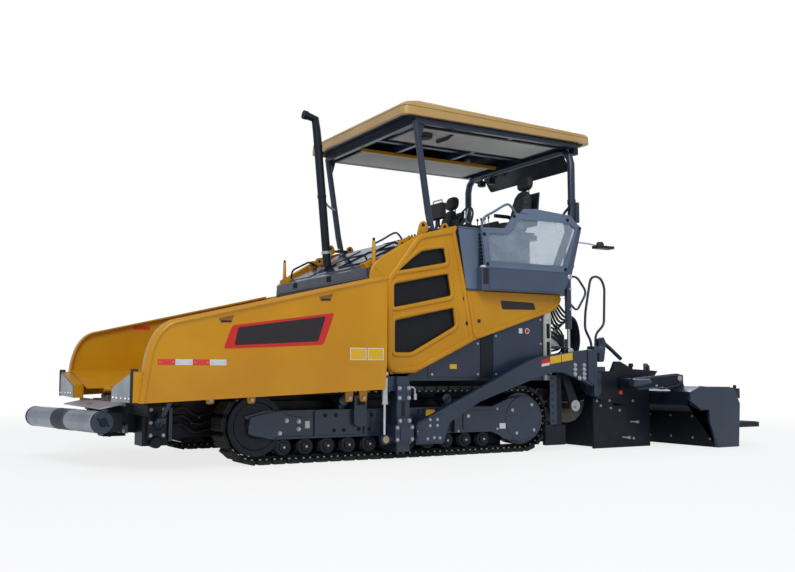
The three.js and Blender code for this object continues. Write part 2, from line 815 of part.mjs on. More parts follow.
function doorGeometry(s) {
  const strapOuter = s * (door.innerY + door.strapWidth);
  const pieces = [sidePlate(doorOutline, s * door.innerY, s * door.outerY, doorWindows)];
  for (const z of door.hingeZs) {
    const low = z - door.hingeHeight / 2;
    const high = z + door.hingeHeight / 2;
    pieces.push(block(door.hingeX, door.strapRearX, s * door.innerY, strapOuter, low, high));
    pieces.push(barZ(door.hingeX, s * door.outerY, low, high, door.hingeRadius, 16));
  }
  return join(...pieces);
}
for (const { tag, s } of sides) {
  add(`engine_door_${tag}`, doorGeometry(s), "amber");
  const grilleY = door.innerY - seatGap;
  const grille = sidePlate(grilleOutline, s * (grilleY - door.grilleThickness), s * grilleY);
  add(`door_grille_${tag}`, grille, "nearBlack");
}

// Rear body: side compartments, yellow rear panels, platform, cowl
const body = {
  sideY: 1196,
  compartmentInner: tunnel.wallOuter + seatGap,
  compartmentLow: 800,
  deckLow: 1796,
  deckTop: 2050,
  deckFrontX: -3560,
  rearX: -5000,
  cowlFrontX: -3430,
  cowlFootX: -3540,
  cowlRearX: -3690,
  cowlTop: 2490,
  cowlHalfWidth: 1245,
  boxFrontX: -3660,
  boxOuterY: 1350,
  boxRearX: -4836,
  boxLow: 1800,
  pillarX: [-4740, -4700],
  pillarHalfWidth: 700,
  panelThickness: 36,
};
const compartmentOutline = [
  [-2800, body.compartmentLow],
  [-2800, 870],
  [-2900, 890],
  [-3440, 1140],
  [-3440, body.deckLow - seatGap],
  [-4660, body.deckLow - seatGap],
  [-4660, body.compartmentLow],
];
const rearPanelOutline = [
  [-3525, 1795],
  [-4875, 1795],
  [-4850, 1700],
  [-4800, 1620],
  [-4713, 1590],
  [-4200, 1432],
  [-3622, 1240],
];
for (const { tag, s } of sides) {
  const compartment = sidePlate(compartmentOutline, s * body.compartmentInner, s * body.sideY);
  add(`side_compartment_${tag}`, compartment, "steelBlue");
  const panelInner = body.sideY + seatGap;
  const panel = sidePlate(rearPanelOutline, s * panelInner, s * (panelInner + body.panelThickness));
  add(`rear_panel_${tag}`, panel, "amber");
}

const seat = {
  y: 800,
  halfWidth: 250,
  cushionLow: 2520,
  cushionTop: 2660,
  backTop: 3250,
  panX: [-4720, -4230],
  panHalfWidth: 200,
  panDepth: 60,
  columnX: [-4640, -4280],
  columnHalfWidth: 160,
};
const desk = {
  rearX: -3980,
  halfWidth: 950,
  top: 2560,
  monitorX: -3760,
  monitorY: 300,
  monitorLow: 2740,
  monitorTop: 2920,
  monitorHalfWidth: 130,
  monitorHalfDepth: 30,
  stalkRadius: 20,
};
const liftCylinder = {
  y: 1316,
  topX: -4915,
  topZ: 2005,
  radius: 38,
  pinRadius: 16,
  barrelLength: 600,
  barrelCap: 70,
  rodRadius: 18,
  rodTop: 1645,
  footZ: 1135,
  eyeRadius: 42,
  eyeHalfWidth: 30,
  lugInnerY: 1230,
  lugRearX: -4960,
  lugLow: 1850,
};

function platformGeometry() {
  const { deckTop, deckLow, boxRearX, boxOuterY } = body;
  const cowl = [
    [body.cowlFrontX, body.cowlTop],
    [body.cowlFootX, deckLow],
    [body.cowlRearX - 60, deckLow],
    [body.cowlRearX, body.cowlTop],
  ];
  const lug = [
    [boxRearX + 1, liftCylinder.lugLow],
    [liftCylinder.lugRearX, liftCylinder.lugLow + 90],
    [liftCylinder.lugRearX, deckTop],
    [boxRearX + 1, deckTop],
  ];
  const [pillarRear, pillarFront] = body.pillarX;
  const [columnRear, columnFront] = seat.columnX;
  const [panRear, panFront] = seat.panX;
  const panLow = seat.cushionLow - seat.panDepth;
  const { monitorX, monitorY, monitorHalfWidth, monitorHalfDepth } = desk;
  const pieces = [
    block(body.rearX, body.deckFrontX, -body.sideY, body.sideY, deckLow, deckTop),
    sidePlate(cowl, -body.cowlHalfWidth, body.cowlHalfWidth),
    block(
      pillarRear, pillarFront, -body.pillarHalfWidth, body.pillarHalfWidth,
      tunnel.roofTop + seatGap, deckLow + 1),
    block(desk.rearX, body.cowlRearX, -desk.halfWidth, desk.halfWidth, deckTop - 1, desk.top),
    barZ(monitorX, monitorY, desk.top - joinDepth, desk.monitorLow + joinDepth, desk.stalkRadius, 12),
    block(
      monitorX - monitorHalfDepth, monitorX + monitorHalfDepth,
      monitorY - monitorHalfWidth, monitorY + monitorHalfWidth, desk.monitorLow, desk.monitorTop),
  ];
  for (const s of [1, -1]) {
    const columnInner = s * (seat.y - seat.columnHalfWidth);
    const columnOuter = s * (seat.y + seat.columnHalfWidth);
    const panInner = s * (seat.y - seat.panHalfWidth);
    const panOuter = s * (seat.y + seat.panHalfWidth);
    const lugOuter = s * (liftCylinder.y - liftCylinder.radius - moveGap);
    const pinEnd = s * (liftCylinder.y + liftCylinder.eyeHalfWidth);
    pieces.push(
      block(boxRearX, body.boxFrontX, s * (body.sideY - 1), s * boxOuterY, body.boxLow, deckTop),
      block(columnRear, columnFront, columnInner, columnOuter, deckTop - 1, panLow + 1),
      block(panRear, panFront, panInner, panOuter, panLow, seat.cushionLow - seatGap),
      sidePlate(lug, s * liftCylinder.lugInnerY, lugOuter),
      barY(
        liftCylinder.topX, s * (liftCylinder.lugInnerY + 1), pinEnd,
        liftCylinder.topZ, liftCylinder.pinRadius, 16),
    );
  }
  return join(...pieces);
}
add("platform_deck", platformGeometry(), "steelBlue");

function seatPads(s) {
  const outline = [
    [-4230, seat.cushionLow],
    [-4230, seat.cushionTop],
    [-4600, seat.cushionTop - 20],
    [-4640, seat.cushionTop + 30],
    [-4690, seat.backTop],
    [-4780, seat.backTop],
    [-4740, seat.cushionLow],
  ];
  return sidePlate(outline, s * (seat.y - seat.halfWidth), s * (seat.y + seat.halfWidth));
}
for (const { tag, s } of sides) {
  add(`seat_${tag}`, seatPads(s), "leather");
}

// Glazed side screens standing on the side boxes
const screen = { innerY: 1306, outerY: 1346, paneHalf: 3, paneFit: 0.9993, middleX: -4350, middleZ: 2380 };
const screenOutline = [
  [-3668, 2495],
  [-4000, 2510],
  [-4141, 2694],
  [-4952, 2705],
  [-5119, 2599],
  [-4879, body.deckTop + seatGap],
  [-3720, body.deckTop + seatGap],
];
const screenWindow = [
  [-3742, 2440],
  [-4035, 2452],
  [-4180, 2636],
  [-4925, 2646],
  [-5040, 2575],
  [-4838, 2120],
  [-3778, 2120],
];
const paneOutline = screenWindow.map(([x, z]) => [
  screen.middleX + (x - screen.middleX) * screen.paneFit,
  screen.middleZ + (z - screen.middleZ) * screen.paneFit,
]);
for (const { tag, s } of sides) {
  const frame = sidePlate(screenOutline, s * screen.innerY, s * screen.outerY, [screenWindow]);
  add(`side_screen_${tag}`, frame, "paleGrey");
  const paneY = (screen.innerY + screen.outerY) / 2;
  const pane = sidePlate(paneOutline, s * (paneY - screen.paneHalf), s * (paneY + screen.paneHalf));
  add(`side_glass_${tag}`, pane, "glass");
}

// Canopy: roof, posts, rear hoop and the frame under the roof
const canopy = {
  frontX: -2750,
  rearX: -5430,
  halfWidth: 1200,
  low: 3700,
  top: 3885,
  corner: 160,
  wall: 40,
  hollowCorner: 110,
  hollowRear: 60,
  hollowFront: 90,
  hollowTop: 45,
};
const canopyFrame = {
  low: 3630,
  railY: canopy.halfWidth - 100,
  railHalfWidth: 30,
  railRear: 160,
  railFront: 190,
  crossXs: [-2970, -3500, -4300, -5180],
  postRadius: 38,
  postFootX: -3165,
  postFootZ: 2445,
  postHeadX: -2960,
  padThickness: 24,
  padHalfWidth: 60,
  padHalfLength: 75,
  hoopX: -5180,
  hoopFootX: -4890,
  hoopKneeZ: 2700,
  hoopRadius: 45,
  hoopCorner: 220,
};
function chamferedPlan(rearX, frontX, halfWidth, corner) {
  return [
    [rearX, corner - halfWidth],
    [rearX + corner, -halfWidth],
    [frontX - corner, -halfWidth],
    [frontX, corner - halfWidth],
    [frontX, halfWidth - corner],
    [frontX - corner, halfWidth],
    [rearX + corner, halfWidth],
    [rearX, halfWidth - corner],
  ];
}
function roofGeometry() {
  const { frontX, rearX, halfWidth, low, top } = canopy;
  const outline = [
    [frontX, low],
    [frontX - 60, low + 120],
    [frontX - 260, top],
    [rearX + 1130, top - 8],
    [rearX + 120, top - 95],
    [rearX, low + 40],
    [rearX, low - 20],
    [rearX + canopy.hollowRear, low - 20],
    [rearX + canopy.hollowRear, low],
  ];
  const sheet = sidePlate(outline, -halfWidth, halfWidth);
  const plan = flatPlate(chamferedPlan(rearX, frontX, halfWidth, canopy.corner), low - 40, top + 20);
  const hollowPlan = chamferedPlan(
    rearX + canopy.hollowRear, frontX - canopy.hollowFront, halfWidth - canopy.wall, canopy.hollowCorner);
  return cut(common(sheet, plan), flatPlate(hollowPlan, low - 30, low + canopy.hollowTop));
}

function canopyFrameGeometry() {
  const top = canopy.low + canopy.hollowTop - seatGap;
  const { railY, railHalfWidth, low, postFootX, postFootZ } = canopyFrame;
  const { padHalfLength, padHalfWidth, padThickness, hoopX, hoopFootX, hoopKneeZ, hoopRadius } = canopyFrame;
  const pieces = [];
  for (const s of [1, -1]) {
    const padInner = s * (railY - padHalfWidth);
    const padOuter = s * (railY + padHalfWidth);
    pieces.push(
      block(
        canopy.rearX + canopyFrame.railRear, canopy.frontX - canopyFrame.railFront,
        s * (railY - railHalfWidth), s * (railY + railHalfWidth), low, top),
      bentTube(
        [
          [postFootX, s * railY, postFootZ],
          [postFootX + 45, s * railY, postFootZ + 195],
          [canopyFrame.postHeadX, s * railY, low + 30],
        ],
        canopyFrame.postRadius, 60),
      block(
        postFootX - padHalfLength, postFootX + padHalfLength, padInner, padOuter,
        postFootZ + 1, postFootZ + 1 + padThickness),
      block(
        hoopFootX - padHalfLength, hoopFootX + padHalfLength, padInner, padOuter,
        body.deckTop + seatGap, body.deckTop + padThickness),
    );
  }
  for (const x of canopyFrame.crossXs) {
    pieces.push(block(x - railHalfWidth, x + railHalfWidth, -railY, railY, low, top - 10));
  }
  const footZ = body.deckTop + padThickness - 4;
  const hoopTop = low - 20;
  pieces.push(bentTube(
    [
      [hoopFootX, railY, footZ],
      [hoopX, railY, hoopKneeZ],
      [hoopX, railY, hoopTop],
      [hoopX, -railY, hoopTop],
      [hoopX, -railY, hoopKneeZ],
      [hoopFootX, -railY, footZ],
    ],
    hoopRadius, canopyFrame.hoopCorner));
  return join(...pieces);
}
add("canopy_roof", roofGeometry(), "amber");
add("canopy_frame", canopyFrameGeometry(), "steelBlue");

// Exhaust stack leaning forward from a flange on the hood, with a turned outlet
const exhaust = {
  y: -300,
  radius: 50,
  footX: hood.frontX - 265,
  bendReach: 170,
  bendZ: 3945,
  endReach: 330,
  endZ: 3968,
  bendRadius: 60,
  flangeHalf: 80,
  flangeThickness: 30,
};
function exhaustGeometry() {
  const { footX, y, flangeHalf, radius } = exhaust;
  const footZ = hoodTop(footX - radius) + 5;
  const rear = footX - flangeHalf;
  const front = footX + flangeHalf;
  const flange = [
    [rear, hoodTop(rear) + seatGap],
    [front, hoodTop(front) + seatGap],
    [front, hoodTop(front) + exhaust.flangeThickness],
    [rear, hoodTop(rear) + exhaust.flangeThickness],
  ];
  const path = [
    [footX, y, footZ],
    [footX + exhaust.bendReach, y, exhaust.bendZ],
    [footX + exhaust.endReach, y, exhaust.endZ],
  ];
  return join(
    bentTube(path, radius, exhaust.bendRadius, 12),
    sidePlate(flange, y - flangeHalf, y + flangeHalf),
  );
}
add("exhaust_pipe", exhaustGeometry(), "nearBlack");

// Tow points: guide columns, sliders that carry the tow arms, level cylinders
const guide = {
  frontX: -2536,
  rearX: -2688,
  innerY: 1300,
  outerY: 1420,
  low: 84,
  high: 850,
  armLow: 765,
  bracketLow: 700,
};
const level = {
  x: -2425,
  y: 1360,
  radius: 40,
  rodRadius: 16,
  top: 865,
  length: 300,
  capThickness: 25,
  halfWidth: 25,
};
const slider = {
  wall: 32,
  clearance: 1,
  low: 180,
  high: 360,
  travelUp: 150,
  armLow: 205,
  armHigh: 325,
  armInset: 45,
  rodArmLow: 190,
  rodArmHigh: 240,
};
const towPin = { x: -2800, z: 262, radius: 25 };
const towArm = { innerY: 1358, outerY: 1420, rearX: -5200 };

function guideGeometry(s) {
  const barrel = boredBarrel(level.length, level.radius, level.rodRadius + 1, level.capThickness);
  const bodySide = s * (tunnel.wallOuter + seatGap);
  return join(
    block(guide.rearX, guide.frontX, s * guide.innerY, s * guide.outerY, guide.low, guide.high),
    block(guide.rearX, guide.frontX, bodySide, s * (guide.innerY + 1), guide.armLow, guide.high),
    barrel.translate(level.x, s * level.y, level.top),
    block(
      guide.frontX - 1, level.x - 20, s * (level.y - level.halfWidth), s * (level.y + level.halfWidth),
      guide.bracketLow, guide.high),
  );
}

function sliderGeometry(s) {
  const x0 = guide.rearX - slider.clearance;
  const x1 = guide.frontX + slider.clearance;
  const y0 = guide.innerY - slider.clearance;
  const y1 = guide.outerY + slider.clearance;
  const w = slider.wall;
  const ring = cut(
    block(x0 - w, x1 + w, s * (y0 - w), s * (y1 + w), slider.low, slider.high),
    block(x0, x1, s * y0, s * y1, slider.low - 5, slider.high + 5),
  );
  const rodTop = level.top - level.capThickness - slider.travelUp - moveGap;
  return join(
    ring,
    block(
      x0 - w + 1, towPin.x - slider.armInset, s * (y0 - w), s * (towArm.innerY - 1),
      slider.armLow, slider.armHigh),
    barY(towPin.x, s * (y0 - w + 2), s * (towArm.outerY + 12), towPin.z, towPin.radius, 24),
    block(
      x1 + w - 1, level.x + 20, s * (level.y - level.halfWidth), s * (level.y + level.halfWidth),
      slider.rodArmLow, slider.rodArmHigh),
    barZ(level.x, s * level.y, slider.rodArmLow + joinDepth, rodTop, level.rodRadius, 16),
  );
}

// Tow arms: thick plates from the tow points back to the screed
const towArmOutline = [
  [-2765, 150],
  [-2765, 330],
  [-2795, 372],
  [-4253, 1022],
  [-4390, 1064],
  [-5060, 1150],
  [towArm.rearX + 15, 1165],
  [towArm.rearX, 1150],
  [towArm.rearX, 745],
  [towArm.rearX + 35, 736],
  [-4986, 811],
  [-4734, 893],
  [-4609, 893],
  [-4363, 835],
  [-3574, 577],
  [-3190, 370],
  [-3150, 300],
  [-3111, 165],
  [-3090, 150],
];
function towArmGeometry(s) {
  const plate = sidePlate(towArmOutline, s * towArm.innerY, s * towArm.outerY);
  const holeInner = s * (towArm.innerY - 5);
  const hole = barY(towPin.x, holeInner, s * (towArm.outerY + 5), towPin.z, towPin.radius + 1, 24);
  return cut(plate, hole);
}
for (const { tag, s } of sides) {
  add(`tow_guide_${tag}`, guideGeometry(s), "steelBlue");
  add(`tow_point_${tag}`, sliderGeometry(s), "steelBlue");
  add(`tow_arm_${tag}`, towArmGeometry(s), "steelBlue");
}

// Lift cylinders
function barrelGeometry(s) {
  const { barrelLength, barrelCap, radius, rodRadius, pinRadius, eyeRadius, eyeHalfWidth } = liftCylinder;
  const tube = boredBarrel(barrelLength, radius, rodRadius + 1, barrelCap);
  const eye = barY(0, -eyeHalfWidth, eyeHalfWidth, 0, eyeRadius, 24);
  const hole = barY(0, -2 * eyeHalfWidth, 2 * eyeHalfWidth, 0, pinRadius + 1, 16);
  const barrel = cut(join(tube.translate(0, 0, -10), eye), hole);
  return barrel.translate(liftCylinder.topX, s * liftCylinder.y, liftCylinder.topZ);
}

function rodGeometry(s) {
  const { topX, y, footZ, rodTop, rodRadius, eyeRadius, eyeHalfWidth } = liftCylinder;
  return join(
    barZ(topX, s * y, footZ + 2 * joinDepth, rodTop, rodRadius, 16),
    barY(topX, s * (y - eyeHalfWidth), s * (towArm.innerY - 1), footZ, eyeRadius, 24),
  );
}
for (const { tag, s } of sides) {
  add(`lift_barrel_${tag}`, barrelGeometry(s), "steelBlue");
  add(`lift_rod_${tag}`, rodGeometry(s), "stainless");
}

// Augers and their carrier
const auger = {
  x: -5050,
  z: 505,
  shaftRadius: 40,
  radius: 205,
  pitch: 300,
  thickness: 14,
  innerY: 60,
  outerY: 1225,
  stepsPerTurn: 20,
};
function augerGeometry(s) {
  const turns = Math.floor((5 * (auger.outerY - auger.innerY - 60)) / auger.pitch) / 5;
  const depth = auger.radius - auger.shaftRadius + 8;
  const steps = Math.round(turns * auger.stepsPerTurn);
  const flight = new THREE.BoxGeometry(turns, depth, auger.thickness, steps, 1, 1);
  const place = flight.attributes.position;
  for (let i = 0; i < place.count; i += 1) {
    const angle = place.getX(i) * 2 * Math.PI;
    const radius = place.getY(i) + (auger.radius + auger.shaftRadius - 8) / 2;
    const along = (auger.innerY + auger.outerY) / 2 + place.getX(i) * auger.pitch - place.getZ(i);
    place.setXYZ(i, radius * Math.sin(angle), along, radius * Math.cos(angle));
  }
  const shaft = barY(0, auger.innerY, auger.outerY, 0, auger.shaftRadius, auger.stepsPerTurn);
  const whole = join(shaft, flight);
  if (s < 0) {
    whole.rotateZ(Math.PI);
  }
  return whole.translate(auger.x, 0, auger.z);
}

const carrier = {
  depth: 200,
  low: 860,
  high: 960,
  innerHalfWidth: 1000,
  outerHalfWidth: 1262,
  shieldInnerY: 1235,
  shieldLow: 290,
  hubRadius: 70,
  hangerHalfWidth: 50,
  hangerDepth: 90,
  hangerLow: 400,
  bearingWidth: 30,
  bearingGap: 0.5,
};
function carrierGeometry() {
  const rear = tunnel.rearX - seatGap;
  const back = rear - carrier.depth;
  const middle = rear - carrier.depth / 2;
  const { low, high, hubRadius, bearingGap, hangerHalfWidth } = carrier;
  const bearing = [
    [middle, low + 40],
    [back, low + 40],
    [auger.x - hubRadius, auger.z],
    [auger.x, auger.z - hubRadius],
    [auger.x + hubRadius, auger.z],
  ];
  const hubEnd = auger.innerY - bearingGap;
  const pieces = [
    block(back, rear, -carrier.innerHalfWidth, carrier.innerHalfWidth, low, high),
    block(
      auger.x - carrier.hangerDepth, middle, -hangerHalfWidth, hangerHalfWidth,
      carrier.hangerLow, high - 1),
    barY(auger.x, -hubEnd, hubEnd, auger.z, hubRadius, 24),
  ];
  for (const s of [1, -1]) {
    const outer = s * carrier.outerHalfWidth;
    const bearingInner = auger.outerY + bearingGap;
    pieces.push(
      block(back, middle, s * (carrier.innerHalfWidth - 40), outer, low + 1, high - 1),
      sidePlate(bearing, s * bearingInner, s * (auger.outerY + carrier.bearingWidth)),
      block(middle - 1, rear - 20, s * carrier.shieldInnerY, outer, carrier.shieldLow, high - 1),
    );
  }
  return join(...pieces);
}
add("auger_carrier", carrierGeometry(), "nearBlack");
for (const { tag, s } of sides) {
  add(`auger_${tag}`, augerGeometry(s), "wornSteel");
}

// Screed: base, extensions on guide tubes, end gates
const screed = {
  frontX: -5813,
  rearX: -6200,
  halfWidth: 1300,
  top: 600,
  casingInset: 10,
  casing: [-5620, -5800],
  casingLow: 660,
  casingTop: 870,
  bridgeFrontX: -5700,
  endPlateWidth: 40,
  bracketWidth: 30,
  tubeX: -5700,
  tubeZ: 765,
  tubeRadius: 60,
  tubeClearance: 0.8,
  tubeInner: 320,
  padRearX: -5632,
  padFrontX: -5400,
  padWidth: 88,
  stepX: [-7500, -7060],
  stepLow: 225,
  stepTop: 285,
  stepInset: 20,
  stepInnerY: 760,
  extensionInnerY: 720,
};
const screedReach = {
  armInner: screed.halfWidth + 270,
  armOuter: screed.halfWidth + 320,
  gateInner: screed.halfWidth + 580,
  gateOuter: screed.halfWidth + 620,
};
const endPlateOutline = [
  [-5590, 640],
  [-5590, 910],
  [-5650, 1025],
  [-5730, 1025],
  [-5940, 934],
  [-6352, 911],
  [-6290, 840],
  [screed.rearX, 780],
  [screed.rearX, 0],
  [screed.frontX, 0],
  [screed.frontX, 640],
];
const bracketOutline = [
  [screed.padFrontX, 903],
  [-5820, 900],
  [-5820, 500],
  [screed.padFrontX, 560],
];
const padOutline = [
  [-5060, 1120],
  [-5230, 1100],
  [-5270, 903],
  [screed.padRearX, 900],
  [screed.padRearX, 600],
  [-5385, 560],
  [-5190, 640],
  [-5060, 860],
];
function screedBaseGeometry() {
  const { halfWidth, frontX, rearX, top, casingInset, casingLow } = screed;
  const casingY = halfWidth - casingInset;
  const [casingFront, casingRear] = screed.casing;
  const padFace = towArm.innerY - seatGap;
  const pieces = [
    block(rearX, frontX, -halfWidth, halfWidth, 0, top),
    block(casingFront, casingRear, -casingY, casingY, casingLow, screed.casingTop),
    block(screed.bridgeFrontX, rearX, -casingY, casingY, top - 1, casingLow + 1),
  ];
  for (const s of [1, -1]) {
    const inner = s * (halfWidth - screed.bracketWidth);
    pieces.push(
      sidePlate(endPlateOutline, s * (halfWidth - screed.endPlateWidth), s * halfWidth),
      sidePlate(bracketOutline, inner, s * halfWidth),
      block(screed.padRearX, screed.padFrontX, inner, s * (padFace - 1), 640, 890),
      sidePlate(padOutline, s * (towArm.innerY - screed.padWidth), s * padFace),
    );
  }
  const boreRadius = screed.tubeRadius + screed.tubeClearance;
  const boreEnd = halfWidth + 100;
  return cut(join(...pieces), barY(screed.tubeX, -boreEnd, boreEnd, screed.tubeZ, boreRadius, 24));
}
add("screed_base", screedBaseGeometry(), "nearBlack");

const extensionOutline = [
  [-6260, 660],
  [-6420, 700],
  [-6985, 700],
  [-7080, 516],
  [-7050, 0],
  [-6695, 0],
  [-6695, 440],
  [-6440, 440],
  [-6260, 520],
];
const gateOutline = [
  [-6238, 664],
  [-6420, 735],
  [-6600, 712],
  [-6991, 712],
  [-7093, 516],
  [-7054, 0],
  [-6691, 0],
  [-6559, 307],
  [-6552, 452],
  [-6422, 455],
  [-6238, 560],
];
const extensionArm = [
  [-5640, 705],
  [-5640, 825],
  [-6350, 880],
  [-6450, 860],
  [-6450, 760],
  [-6480, 690],
  [-6270, 680],
  [-6150, 720],
];
function extensionGeometry(s) {
  const { armInner, armOuter, gateInner } = screedReach;
  const [stepRear, stepFront] = screed.stepX;
  return join(
    sidePlate(extensionOutline, s * screed.extensionInnerY, s * (gateInner - seatGap)),
    sidePlate(extensionArm, s * armInner, s * armOuter),
    barY(screed.tubeX, s * screed.tubeInner, s * (armOuter - 1), screed.tubeZ, screed.tubeRadius, 24),
    block(
      stepFront, stepRear, s * screed.stepInnerY, s * (gateInner - screed.stepInset),
      screed.stepLow, screed.stepTop),
  );
}
for (const { tag, s } of sides) {
  add(`screed_extension_${tag}`, extensionGeometry(s), "nearBlack");
  const gate = sidePlate(gateOutline, s * screedReach.gateInner, s * screedReach.gateOuter);
  add(`end_gate_${tag}`, gate, "steelBlue");
}

export default paver;
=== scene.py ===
# Tracked asphalt paver: the looks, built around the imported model
import json
import math

import bmesh
import bpy
import numpy as np
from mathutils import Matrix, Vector

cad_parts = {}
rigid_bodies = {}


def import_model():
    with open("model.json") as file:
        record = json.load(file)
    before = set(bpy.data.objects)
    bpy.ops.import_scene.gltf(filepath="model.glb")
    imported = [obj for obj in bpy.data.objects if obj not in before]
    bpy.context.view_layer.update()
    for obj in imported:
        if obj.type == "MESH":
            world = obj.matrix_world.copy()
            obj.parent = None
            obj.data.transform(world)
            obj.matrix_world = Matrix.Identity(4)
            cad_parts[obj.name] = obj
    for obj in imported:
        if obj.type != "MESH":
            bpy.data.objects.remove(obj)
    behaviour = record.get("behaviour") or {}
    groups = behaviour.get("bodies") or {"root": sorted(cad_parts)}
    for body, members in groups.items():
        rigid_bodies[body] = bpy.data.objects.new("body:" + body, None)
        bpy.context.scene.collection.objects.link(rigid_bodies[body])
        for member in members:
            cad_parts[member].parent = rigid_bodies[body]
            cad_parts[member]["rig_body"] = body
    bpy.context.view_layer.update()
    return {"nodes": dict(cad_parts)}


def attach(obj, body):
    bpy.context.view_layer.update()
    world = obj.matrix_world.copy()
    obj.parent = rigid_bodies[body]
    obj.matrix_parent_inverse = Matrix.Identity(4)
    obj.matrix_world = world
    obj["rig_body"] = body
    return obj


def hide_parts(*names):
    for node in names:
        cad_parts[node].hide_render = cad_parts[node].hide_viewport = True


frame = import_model()
nodes = frame["nodes"]
print("frame loaded")

# x below counts from the front of the hopper's side marker, in metres; fromMarker brings it to the model's own x
markerX = 3.40225


def fromMarker(points):
    moved = np.array(points, float)
    moved[..., 0] += markerX
    return moved


# camera

cameraSetup = {"place": (2.325, 9.748, 0.893), "yaw": 30.306, "pitch": 5.256, "roll": 0.056, "lens": 42.42}


def addCamera(setup):
    yaw, pitch = math.radians(setup["yaw"]), math.radians(setup["pitch"])
    aim = Vector((-math.sin(yaw) * math.cos(pitch), -math.cos(yaw) * math.cos(pitch), math.sin(pitch)))
    data = bpy.data.cameras.new("camera")
    data.lens = setup["lens"]
    data.clip_end = 200
    camera = bpy.data.objects.new("camera", data)
    bpy.context.scene.collection.objects.link(camera)
    camera.location = fromMarker(setup["place"])
    turn = aim.to_track_quat("-Z", "Y").to_euler()
    camera.rotation_euler = turn
    camera.rotation_euler.rotate_axis("Z", math.radians(setup["roll"]))
    bpy.context.scene.camera = camera


addCamera(cameraSetup)


# shader maths

class Sock:
    # one output socket of a node tree; + - * / % and > on it add Math nodes

    def __init__(self, tree, out):
        self.tree, self.out = tree, out

    def maths(self, operation, left, right):
        made = self.tree.nodes.new("ShaderNodeMath")
        made.operation = operation
        for slot, value in zip(made.inputs, (left, right)):
            link(self.tree, slot, value)
        return Sock(self.tree, made.outputs[0])

    def __add__(self, other):
        return self.maths("ADD", self, other)

    def __radd__(self, other):
        return self.maths("ADD", other, self)

    def __sub__(self, other):
        return self.maths("SUBTRACT", self, other)

    def __rsub__(self, other):
        return self.maths("SUBTRACT", other, self)

    def __mul__(self, other):
        return self.maths("MULTIPLY", self, other)

    def __rmul__(self, other):
        return self.maths("MULTIPLY", other, self)

    def __truediv__(self, other):
        return self.maths("DIVIDE", self, other)

    def __gt__(self, other):
        return self.maths("GREATER_THAN", self, other)

    def __mod__(self, other):
        return self.maths("FLOORED_MODULO", self, other)

    def clip(self, low, high):
        # 0 below low, 1 above high, a smooth step between
        made = self.tree.nodes.new("ShaderNodeMapRange")
        made.interpolation_type = "SMOOTHSTEP"
        for name, value in (("Value", self), ("From Min", low), ("From Max", high)):
            link(self.tree, made.inputs[name], value)
        return Sock(self.tree, made.outputs["Result"])


def link(tree, slot, value):
    if isinstance(value, Sock):
        tree.links.new(value.out, slot)
    elif value is not None:
        slot.default_value = value


def tone(code):
    # a colour written as six hexadecimal digits, as linear light
    parts = [int(code[i:i + 2], 16) / 255 for i in (0, 2, 4)]
    return tuple(p / 12.92 if p <= 0.04045 else ((p + 0.055) / 1.055) ** 2.4 for p in parts) + (1.0,)


class Finish:
    # a material being built: node() adds any node from its type, its settings and the values of its sockets

    def __init__(self, name):
        self.material = bpy.data.materials.new(name)
        self.material.use_nodes = True
        self.tree = self.material.node_tree
        self.tree.nodes.clear()
        self.place = self.node("TexCoord", {}, {}, "Object")

    def node(self, kind, settings, values, out=0):
        made = self.tree.nodes.new("ShaderNode" + kind)
        for key, value in settings.items():
            if key == "stops":
                ramp = made.color_ramp
                while len(ramp.elements) < len(value):
                    ramp.elements.new(0.5)
                for element, (at, colour) in zip(ramp.elements, value):
                    element.position, element.color = at, colour
            else:
                setattr(made, key, value)
        for key, value in values.items():
            link(self.tree, made.inputs[key], value)
        return Sock(self.tree, made.outputs[out])

    def noise(self, scale, detail=3.0, rough=0.5, at=None, stretch=None):
        where = at or self.place
        if stretch:
            where = self.node("Mapping", {}, {"Vector": where, "Scale": stretch})
        return self.node("TexNoise", {}, {"Vector": where, "Scale": scale, "Detail": detail, "Roughness": rough})

    def axis(self, index):
        return self.node("SeparateXYZ", {}, {"Vector": self.place}, index)

    def blend(self, mask, a, b):
        return self.node("Mix", {"data_type": "RGBA"}, {0: mask, 6: a, 7: b}, 2)

    def bump(self, height, strength, distance, under=None):
        values = {"Height": height, "Strength": strength, "Distance": distance}
        if under:
            values["Normal"] = under
        return self.node("Bump", {}, values)

    def finish(self, values):
        shader = self.node("BsdfPrincipled", {}, values)
        self.nodeOutput(shader)
        return self.material

    def nodeOutput(self, shader):
        made = self.tree.nodes.new("ShaderNodeOutputMaterial")
        self.tree.links.new(shader.out, made.inputs["Surface"])


# finishes

paintDirt = {"dust": "8d8478", "dustHeight": 0.6, "dustLevel": 0.1}


def paintFinish(name, colour, shade, rough=0.3, coat=0.5, dust=1.0, peel=0.012, specular=0.5):
    # sprayed enamel: slow colour drift, orange peel in the normal, and a film of dust that thins with height
    f = Finish(name)
    drift = f.noise(1.3, 3).clip(0.35, 0.65)
    fleck = f.noise(46, 4, 0.62).clip(0.5, 0.72)
    low = 1 - f.axis(2).clip(0.05, paintDirt["dustHeight"])
    film = (low * f.noise(7.5, 6, 0.62).clip(0.4, 0.7) * 0.9 + fleck * 0.1) * paintDirt["dustLevel"] * dust
    base = f.blend(drift, tone(colour), tone(shade))
    skin = f.bump(f.noise(160, 2), 0.35, peel * 0.01, f.bump(f.noise(2.6, 2), 0.12, peel * 0.5))
    return f.finish({
        "Base Color": f.blend(film, base, tone(paintDirt["dust"])),
        "Roughness": rough + film * 0.9 + f.noise(9, 5).clip(0.3, 0.8) * 0.07,
        "Metallic": 0.0,
        "Specular IOR Level": specular,
        "Coat Weight": coat,
        "Coat Roughness": 0.12,
        "Normal": skin,
    })


